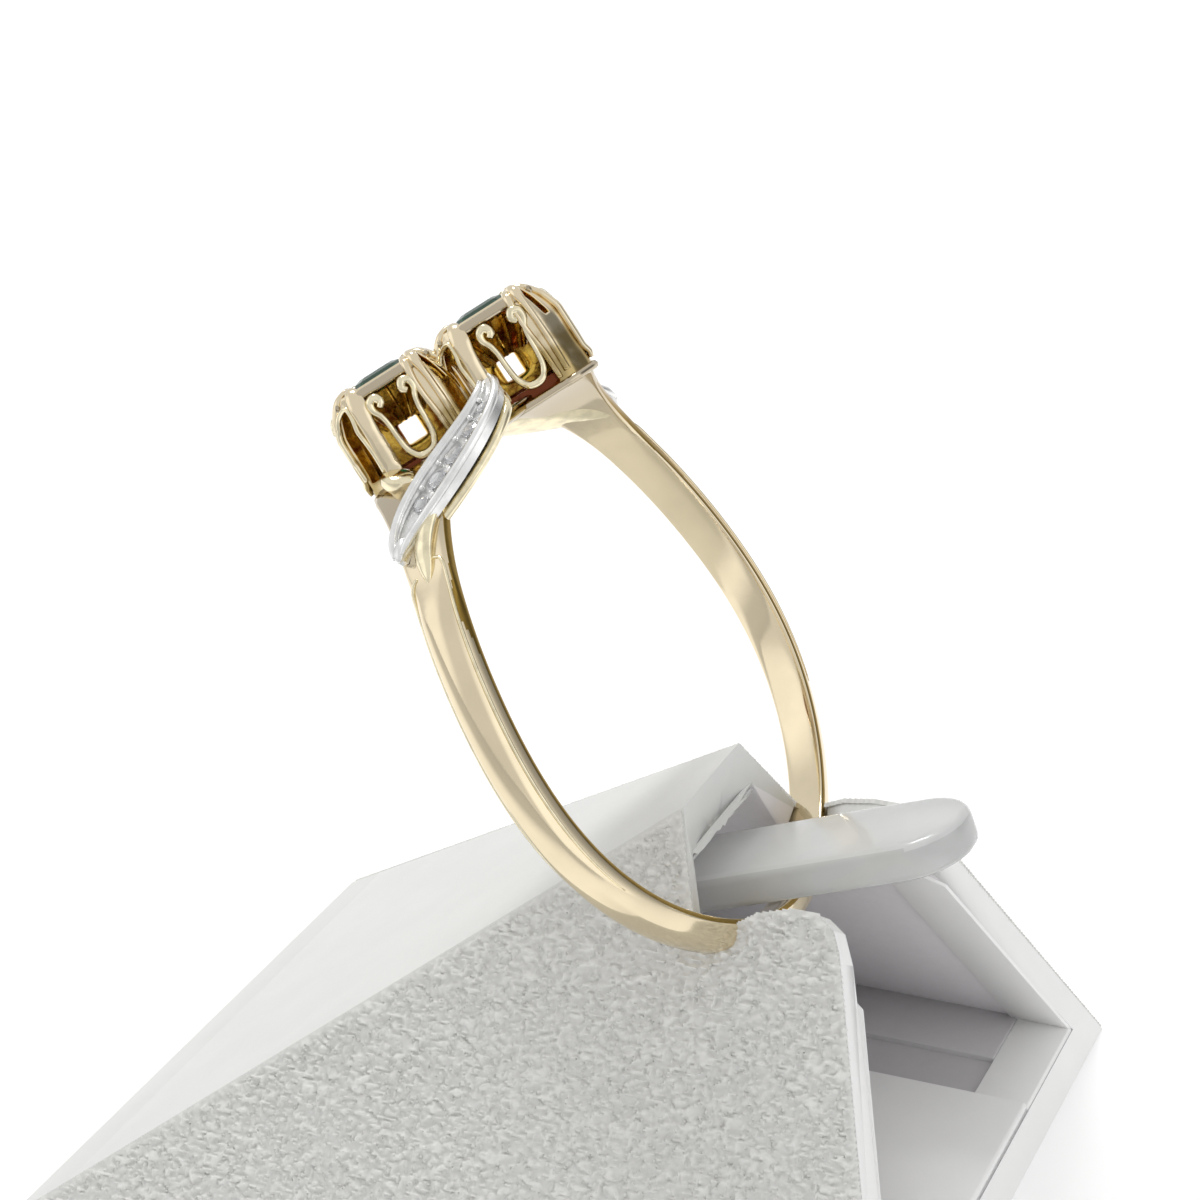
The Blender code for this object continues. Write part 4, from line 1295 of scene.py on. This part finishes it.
def edge_distance(outline, x, z):
    """Distance from a point to the nearest edge of an outline."""
    nearest = 1.0
    for (x1, z1), (x2, z2) in zip(outline, outline[1:] + outline[:1]):
        dx, dz = x2 - x1, z2 - z1
        part = min(max(((x - x1) * dx + (z - z1) * dz) / (dx * dx + dz * dz), 0.0), 1.0)
        nearest = min(nearest, math.hypot(x - x1 - part * dx, z - z1 - part * dz))
    return nearest


def pebble_height(stand, x, z):
    """Height of the pebbled relief, from 0 in a groove to 1 on a pebble."""
    place = Vector((x / (2.0 * stand.grain), z / stand.grain, 0.0))
    bend = Vector((noise.noise(place * 0.8 + Vector((7.0, 0.0, 0.0))), noise.noise(place * 0.8), 0.0))
    place += bend * 0.6
    ridge = 1.0 - min(3.4 * abs(noise.noise(place)), 1.0)
    pebble = 0.5 + 0.7 * noise.noise(place * 1.3 + Vector((0.0, 3.0, 0.0)))
    return min(max(0.6 * ridge * ridge + 0.5 * pebble, 0.0), 1.0)


def covering_sheet(stand, outline):
    """A fine flat grid cut to an outline."""
    xs, zs = [x for x, z in outline], [z for x, z in outline]
    wide, tall = max(xs) - min(xs), max(zs) - min(zs)
    bm = bmesh.new()
    bmesh.ops.create_grid(bm, x_segments=round(wide / stand.spacing), y_segments=round(tall / stand.spacing),
                          size=0.5)
    bmesh.ops.scale(bm, vec=(wide, tall, 1.0), verts=bm.verts)
    middle = ((max(xs) + min(xs)) / 2, (max(zs) + min(zs)) / 2, 0.0)
    bmesh.ops.translate(bm, vec=middle, verts=bm.verts)
    for (x1, z1), (x2, z2) in zip(outline, outline[1:] + outline[:1]):
        bmesh.ops.bisect_plane(bm, geom=bm.verts[:] + bm.edges[:] + bm.faces[:], dist=2 * WELD,
                               plane_co=(x1, z1, 0.0), plane_no=(z2 - z1, x1 - x2, 0.0))
    doomed = [face for face in bm.faces if not inside_outline(outline, *face.calc_center_median().xy)]
    bmesh.ops.delete(bm, geom=doomed, context="FACES")
    return bm


def build_skin(project, finishes, side):
    """The pebbled covering of one side: a fine sheet with real relief and a turned-down edge."""
    stand = project.stand
    outline = in_metres(SIDE_OUTLINE)
    bm = covering_sheet(stand, outline)
    up = math.hypot(1.0, stand.lean)
    outward = Vector((0.0, side / up, stand.lean / up))
    relief = bm.verts.layers.float.new("relief")
    for vert in bm.verts:
        x, z = vert.co.x, vert.co.y
        height = pebble_height(stand, x, z)
        # The relief is kept for the painted shade in the grooves
        vert[relief] = height
        inside = blend(edge_distance(outline, x, z), 0.0, stand.border)
        rise = stand.relief * (height - 0.4) * inside + stand.proud
        vert.co = Vector((x, side * (stand.half_width - stand.lean * z), z)) + outward * rise
    border = [edge for edge in bm.edges if edge.is_boundary]
    made = bmesh.ops.extrude_edge_only(bm, edges=border)["geom"]
    bmesh.ops.translate(bm, vec=-outward * stand.fold, verts=only(made, bmesh.types.BMVert))
    rim = [edge for edge in only(made, bmesh.types.BMEdge) if edge.is_boundary]
    bmesh.ops.contextual_create(bm, geom=rim)
    name = "near_covering" if side < 0 else "far_covering"
    return finish_piece(name, bm, [finishes["leatherette"]], (), None, math.radians(60))


def add_plate(bm, corners, thickness):
    """A thin flat plate with rounded edges, from its corners and the way it is thick."""
    verts = [bm.verts.new(corner) for corner in corners]
    face = bmesh.ops.contextual_create(bm, geom=verts)["faces"][0]
    top = only(bmesh.ops.extrude_face_region(bm, geom=[face])["geom"], bmesh.types.BMVert)
    bmesh.ops.translate(bm, vec=thickness, verts=top)
    edges = {edge for vert in top for edge in vert.link_edges}
    bevel_edges(bm, list(edges), 0.3 * thickness.length, 2)


def build_turned_in(project, finishes):
    """The covering turned in at the open back: a strip on each wall, and flaps on the floor."""
    stand = project.stand
    up = math.hypot(1.0, stand.lean)
    bm = bmesh.new()
    for side in (-1, 1):
        corners = []
        for at_back, height in in_metres(WALL_STRIP):
            back = BACK_FOOT - BACK_LEAN * height - STRIP_INSET
            x = back if at_back else back - stand.strip
            corners.append(Vector((x, side * (stand.half_width - stand.wall - stand.lean * height), height)))
        add_plate(bm, corners, Vector((0.0, -side / up, -stand.lean / up)) * stand.paper)
    floor = FLOOR_TOP * MM
    inner = stand.half_width - stand.wall - stand.lean * floor - 0.05 * MM
    back = BACK_FOOT - BACK_LEAN * floor - STRIP_INSET
    deep, strip = back - 9.0 * MM, back - 0.9 * stand.strip
    plates = ((-1.0, 1.0, strip, back, 1.2, 0), (-1.0, 0.445, deep, back, 2.2, 0),
              (0.685, 1.0, deep, strip, 1.6, 1))
    for low, high, start, end, thick, slot in plates:
        first = len(bm.faces)
        corners = [Vector((start, low * inner, floor)), Vector((end, low * inner, floor)),
                   Vector((end, high * inner, floor)), Vector((start, high * inner, floor))]
        add_plate(bm, corners, Vector((-BACK_LEAN, 0.0, 1.0)) * thick * stand.paper)
        paint(bm, first, slot)
    covers = [finishes["cut_edge"], finishes["floor_board"]]
    return finish_piece("turned_in_covering", bm, covers)


def build_torn_edge(project, finishes):
    """The torn edge of the covering over the mouth of the notch."""
    start, end = (Vector((5.40, side * 2.45, 12.25)) * MM for side in (1, -1))
    bm = bmesh.new()
    top, bottom = [], []
    for step in range(TORN_STEPS + 1):
        part = step / TORN_STEPS
        place = start.lerp(end, part)
        slow = noise.noise(Vector((7.0 * part, 0.0, 0.0)))
        quick = noise.noise(Vector((33.0 * part, 5.0, 0.0)))
        drop = project.stand.torn * (0.9 + 0.5 * slow + 0.5 * quick)
        top.append(place + Vector((-0.01 * MM, 0.0, 0.06 * MM)))
        bottom.append(place + Vector((0.23 * drop, 0.0, -drop)))
    add_plate(bm, top + bottom[::-1], Vector((-0.08 * MM, 0.0, 0.0)))
    return finish_piece("torn_covering", bm, [finishes["smooth_cover"]])


def build_tongue(project, finishes):
    """The clear tongue, with its edges rounded."""
    bm = bmesh.new()
    bm.from_mesh(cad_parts["ring_tongue"].data)
    bmesh.ops.remove_doubles(bm, verts=bm.verts, dist=WELD)
    bmesh.ops.dissolve_limit(bm, angle_limit=math.radians(1), verts=bm.verts, edges=bm.edges)
    sharp = [edge for edge in bm.edges if edge.calc_face_angle(0.0) > math.radians(40)]
    bevel_edges(bm, sharp, 0.3 * MM, 4)
    # Painted shade: the steep side faces get a darker plastic
    for face in bm.faces:
        face.material_index = int(face.normal.z < 0.6)
    plastics = [finishes["plastic"], finishes["plastic_edge"]]
    return finish_piece("clear_tongue", bm, plastics, ["ring_tongue"])


# Stage

CAMERA_PLACE = Vector((36.364, -75.603, 55.914)) * MM
CAMERA_RIGHT = Vector((0.91380, 0.40476, -0.03372))
CAMERA_DOWN = Vector((0.13603, -0.38321, -0.91359))
CAMERA_FORWARD = Vector((-0.38271, 0.83025, -0.40524))
CAMERA_LENS = 90.07
CAMERA_SENSOR = 36.0

# Parts of the sky: direction, degrees from it where the part starts and where it is full, and
# brightness there
SKY_PARTS = (
    ((0.76, 0.53, 0.37), 30.0, 12.0, 0.30),
    ((0.97, -0.08, 0.22), 48.0, 25.0, 1.6),
    ((-0.85, -0.45, 0.25), 32.0, 14.0, 1.5),
)
SKY_LEVEL = 0.74
SKY_MOST = 2.0

FLOOR_REACH = 2.0
KEY_PLACE = Vector((-0.14, 0.105, 0.305))
KEY_TARGET = Vector((0.0, 0.0, 0.01))
KEY_SIZE = 0.10
KEY_POWER = 0.34


def place_camera():
    """The camera, where the fit to the stand and the band puts it."""
    camera_data = bpy.data.cameras.new("camera")
    camera_data.sensor_width = CAMERA_SENSOR
    camera_data.lens = CAMERA_LENS
    camera_data.clip_start = 0.001
    camera = bpy.data.objects.new("camera", camera_data)
    bpy.context.collection.objects.link(camera)
    axes = Matrix((CAMERA_RIGHT, -CAMERA_DOWN, -CAMERA_FORWARD)).transposed().to_4x4()
    camera.matrix_world = Matrix.Translation(CAMERA_PLACE) @ axes
    bpy.context.scene.camera = camera


def add_light(name, place, target, size, power):
    """A round lamp that looks at a target."""
    light = bpy.data.lights.new(name, "AREA")
    light.shape = "DISK"
    light.size = size
    light.energy = power
    lamp = bpy.data.objects.new(name, light)
    bpy.context.collection.objects.link(lamp)
    lamp.location = place
    lamp.rotation_euler = (target - place).to_track_quat("-Z", "Y").to_euler()


def build_sky():
    """Soft studio light from all round, with darker and lighter parts for the gold to mirror."""
    world = bpy.data.worlds.new("studio")
    world.use_nodes = True
    sky = Finish("sky", world)
    level = 1.0
    for aim, edge, middle, change in SKY_PARTS:
        edges = (math.cos(math.radians(degrees)) for degrees in (edge, middle))
        level = level * sky.between(sky.along(sky.direction, aim), *edges, 1.0, change)
    sky.feed(sky.shader.inputs["Color"], sky.mix(level * (1 / SKY_MOST), (0.0, 0.0, 0.0), (1.0, 1.0, 1.0)))
    sky.shader.inputs["Strength"].default_value = SKY_LEVEL * SKY_MOST
    bpy.context.scene.world = world


def build_stage():
    """The floor, the sky, the key light and the camera."""
    bm = bmesh.new()
    bmesh.ops.create_grid(bm, x_segments=1, y_segments=1, size=FLOOR_REACH)
    mesh = bpy.data.meshes.new("floor")
    bm.to_mesh(mesh)
    bm.free()
    mesh.materials.append(studio_floor())
    floor = bpy.data.objects.new("floor", mesh)
    bpy.context.collection.objects.link(floor)
    build_sky()
    bpy.context.scene.view_settings.view_transform = "Standard"
    add_light("key", KEY_PLACE, KEY_TARGET, KEY_SIZE, KEY_POWER)
    place_camera()


# Operators


class RING_OT_band(bpy.types.Operator):
    """Make the polished band and its bridge"""

    bl_idname = "ring.band"
    bl_label = "Band"

    def execute(self, context):
        project, finishes = context.scene.ring_project, all_finishes(context)
        build_band(project, finishes)
        for half in range(len(SIDES)):
            build_shoulder_trim(project, finishes, half)
        return {"FINISHED"}


class RING_OT_heads(bpy.types.Operator):
    """Make the two open baskets"""

    bl_idname = "ring.heads"
    bl_label = "Heads"

    def execute(self, context):
        project, finishes = context.scene.ring_project, all_finishes(context)
        for half in range(len(SIDES)):
            build_basket(project, finishes, half)
            build_posts(project, finishes, half)
            build_window_wires(project, finishes, half)
            build_seat(project, finishes, half)
        build_cup(project, finishes, 0)
        return {"FINISHED"}


class RING_OT_leaves(bpy.types.Operator):
    """Make the white gold leaves and their gold backings"""

    bl_idname = "ring.leaves"
    bl_label = "Leaves"

    def execute(self, context):
        project, finishes = context.scene.ring_project, all_finishes(context)
        for half in range(len(SIDES)):
            build_leaf(project, finishes, half)
            build_backing(project, finishes, half)
            build_rims(project, finishes, half)
            build_beads(project, finishes, half)
        return {"FINISHED"}


class RING_OT_stones(bpy.types.Operator):
    """Set the emeralds and the small clear stones"""

    bl_idname = "ring.stones"
    bl_label = "Stones"

    def execute(self, context):
        project, finishes = context.scene.ring_project, all_finishes(context)
        for half, side in enumerate(SIDES):
            build_emerald(project, finishes, half)
            for number, part in enumerate(STONE_PLACES, 1):
                build_brilliant(project, finishes, part, half, number)
        return {"FINISHED"}


class RING_OT_stand(bpy.types.Operator):
    """Make the stand's covering and the clear tongue"""

    bl_idname = "ring.stand"
    bl_label = "Stand"

    def execute(self, context):
        project, finishes = context.scene.ring_project, all_finishes(context)
        build_cover(project, finishes)
        for side in (-1, 1):
            build_skin(project, finishes, side)
        build_turned_in(project, finishes)
        build_torn_edge(project, finishes)
        build_tongue(project, finishes)
        return {"FINISHED"}


class RING_OT_stage(bpy.types.Operator):
    """Add the floor, the lights and the camera"""

    bl_idname = "ring.stage"
    bl_label = "Stage"

    def execute(self, context):
        build_stage()
        return {"FINISHED"}


FINISHES = {}


def all_finishes(context):
    """The finishes, made once."""
    if not FINISHES:
        project = context.scene.ring_project
        tone = {name: tuple(getattr(project.colours, name)) for name in Colours.__annotations__}
        FINISHES.update({
            "gold": polished_gold(tone["gold"], tone["dull"]),
            "shaded_side_gold": head_gold(tone["shaded_side_gold"], tone["shaded_side_gold"]),
            "bright_gold": bright_gold(tone["bright"]),
            "head_gold": head_gold(tone["gold"], tone["olive"]),
            # The posts' darker patches are painted reflections too
            "post_gold": head_gold(tone["gold"], darker(tone["gold"], 0.86)),
            "cast_gold": cast_gold(tone["cast_gold"]),
            "tarnish": cast_gold(tone["tarnish"], "tarnished gold"),
            "white_gold": white_gold(tone["white_gold"]),
            "emerald": emerald_glass(tone["emerald"]),
            "clear_stone": clear_stone(),
            "leatherette": leatherette(tone["cover"], project.stand.grain),
            "smooth_cover": smooth_cover("smooth covering", tone["smooth"]),
            "cut_edge": smooth_cover("cut edge", tone["edge"]),
            "board": grey_board("lining board", tone["lining"]),
            "floor_board": grey_board("floor board", darker(tone["lining"], 0.56)),
            "plastic": clear_plastic("clear plastic", tone["plastic"]),
            "plastic_edge": clear_plastic("plastic edge", darker(tone["plastic"], 0.84)),
        })
    return FINISHES


class RING_PT_panel(bpy.types.Panel):
    bl_label = "Ring"
    bl_idname = "RING_PT_panel"
    bl_space_type = "VIEW_3D"
    bl_region_type = "UI"
    bl_category = "Ring"

    def draw(self, context):
        for operator in OPERATORS:
            self.layout.operator(operator.bl_idname)


OPERATORS = (RING_OT_band, RING_OT_heads, RING_OT_leaves, RING_OT_stones, RING_OT_stand, RING_OT_stage)
GROUPS = (BandSizes, HeadSizes, LeafSizes, StoneSizes, StandSizes, Colours, RingProject)


def register():
    for cls in GROUPS + OPERATORS + (RING_PT_panel,):
        bpy.utils.register_class(cls)
    bpy.types.Scene.ring_project = bpy.props.PointerProperty(type=RingProject)


def unregister():
    del bpy.types.Scene.ring_project
    for cls in reversed(GROUPS + OPERATORS + (RING_PT_panel,)):
        bpy.utils.unregister_class(cls)


def main():
    register()
    bpy.ops.ring.band()
    bpy.ops.ring.heads()
    bpy.ops.ring.leaves()
    bpy.ops.ring.stones()
    bpy.ops.ring.stand()
    bpy.ops.ring.stage()


if __name__ == "__main__":
    main()
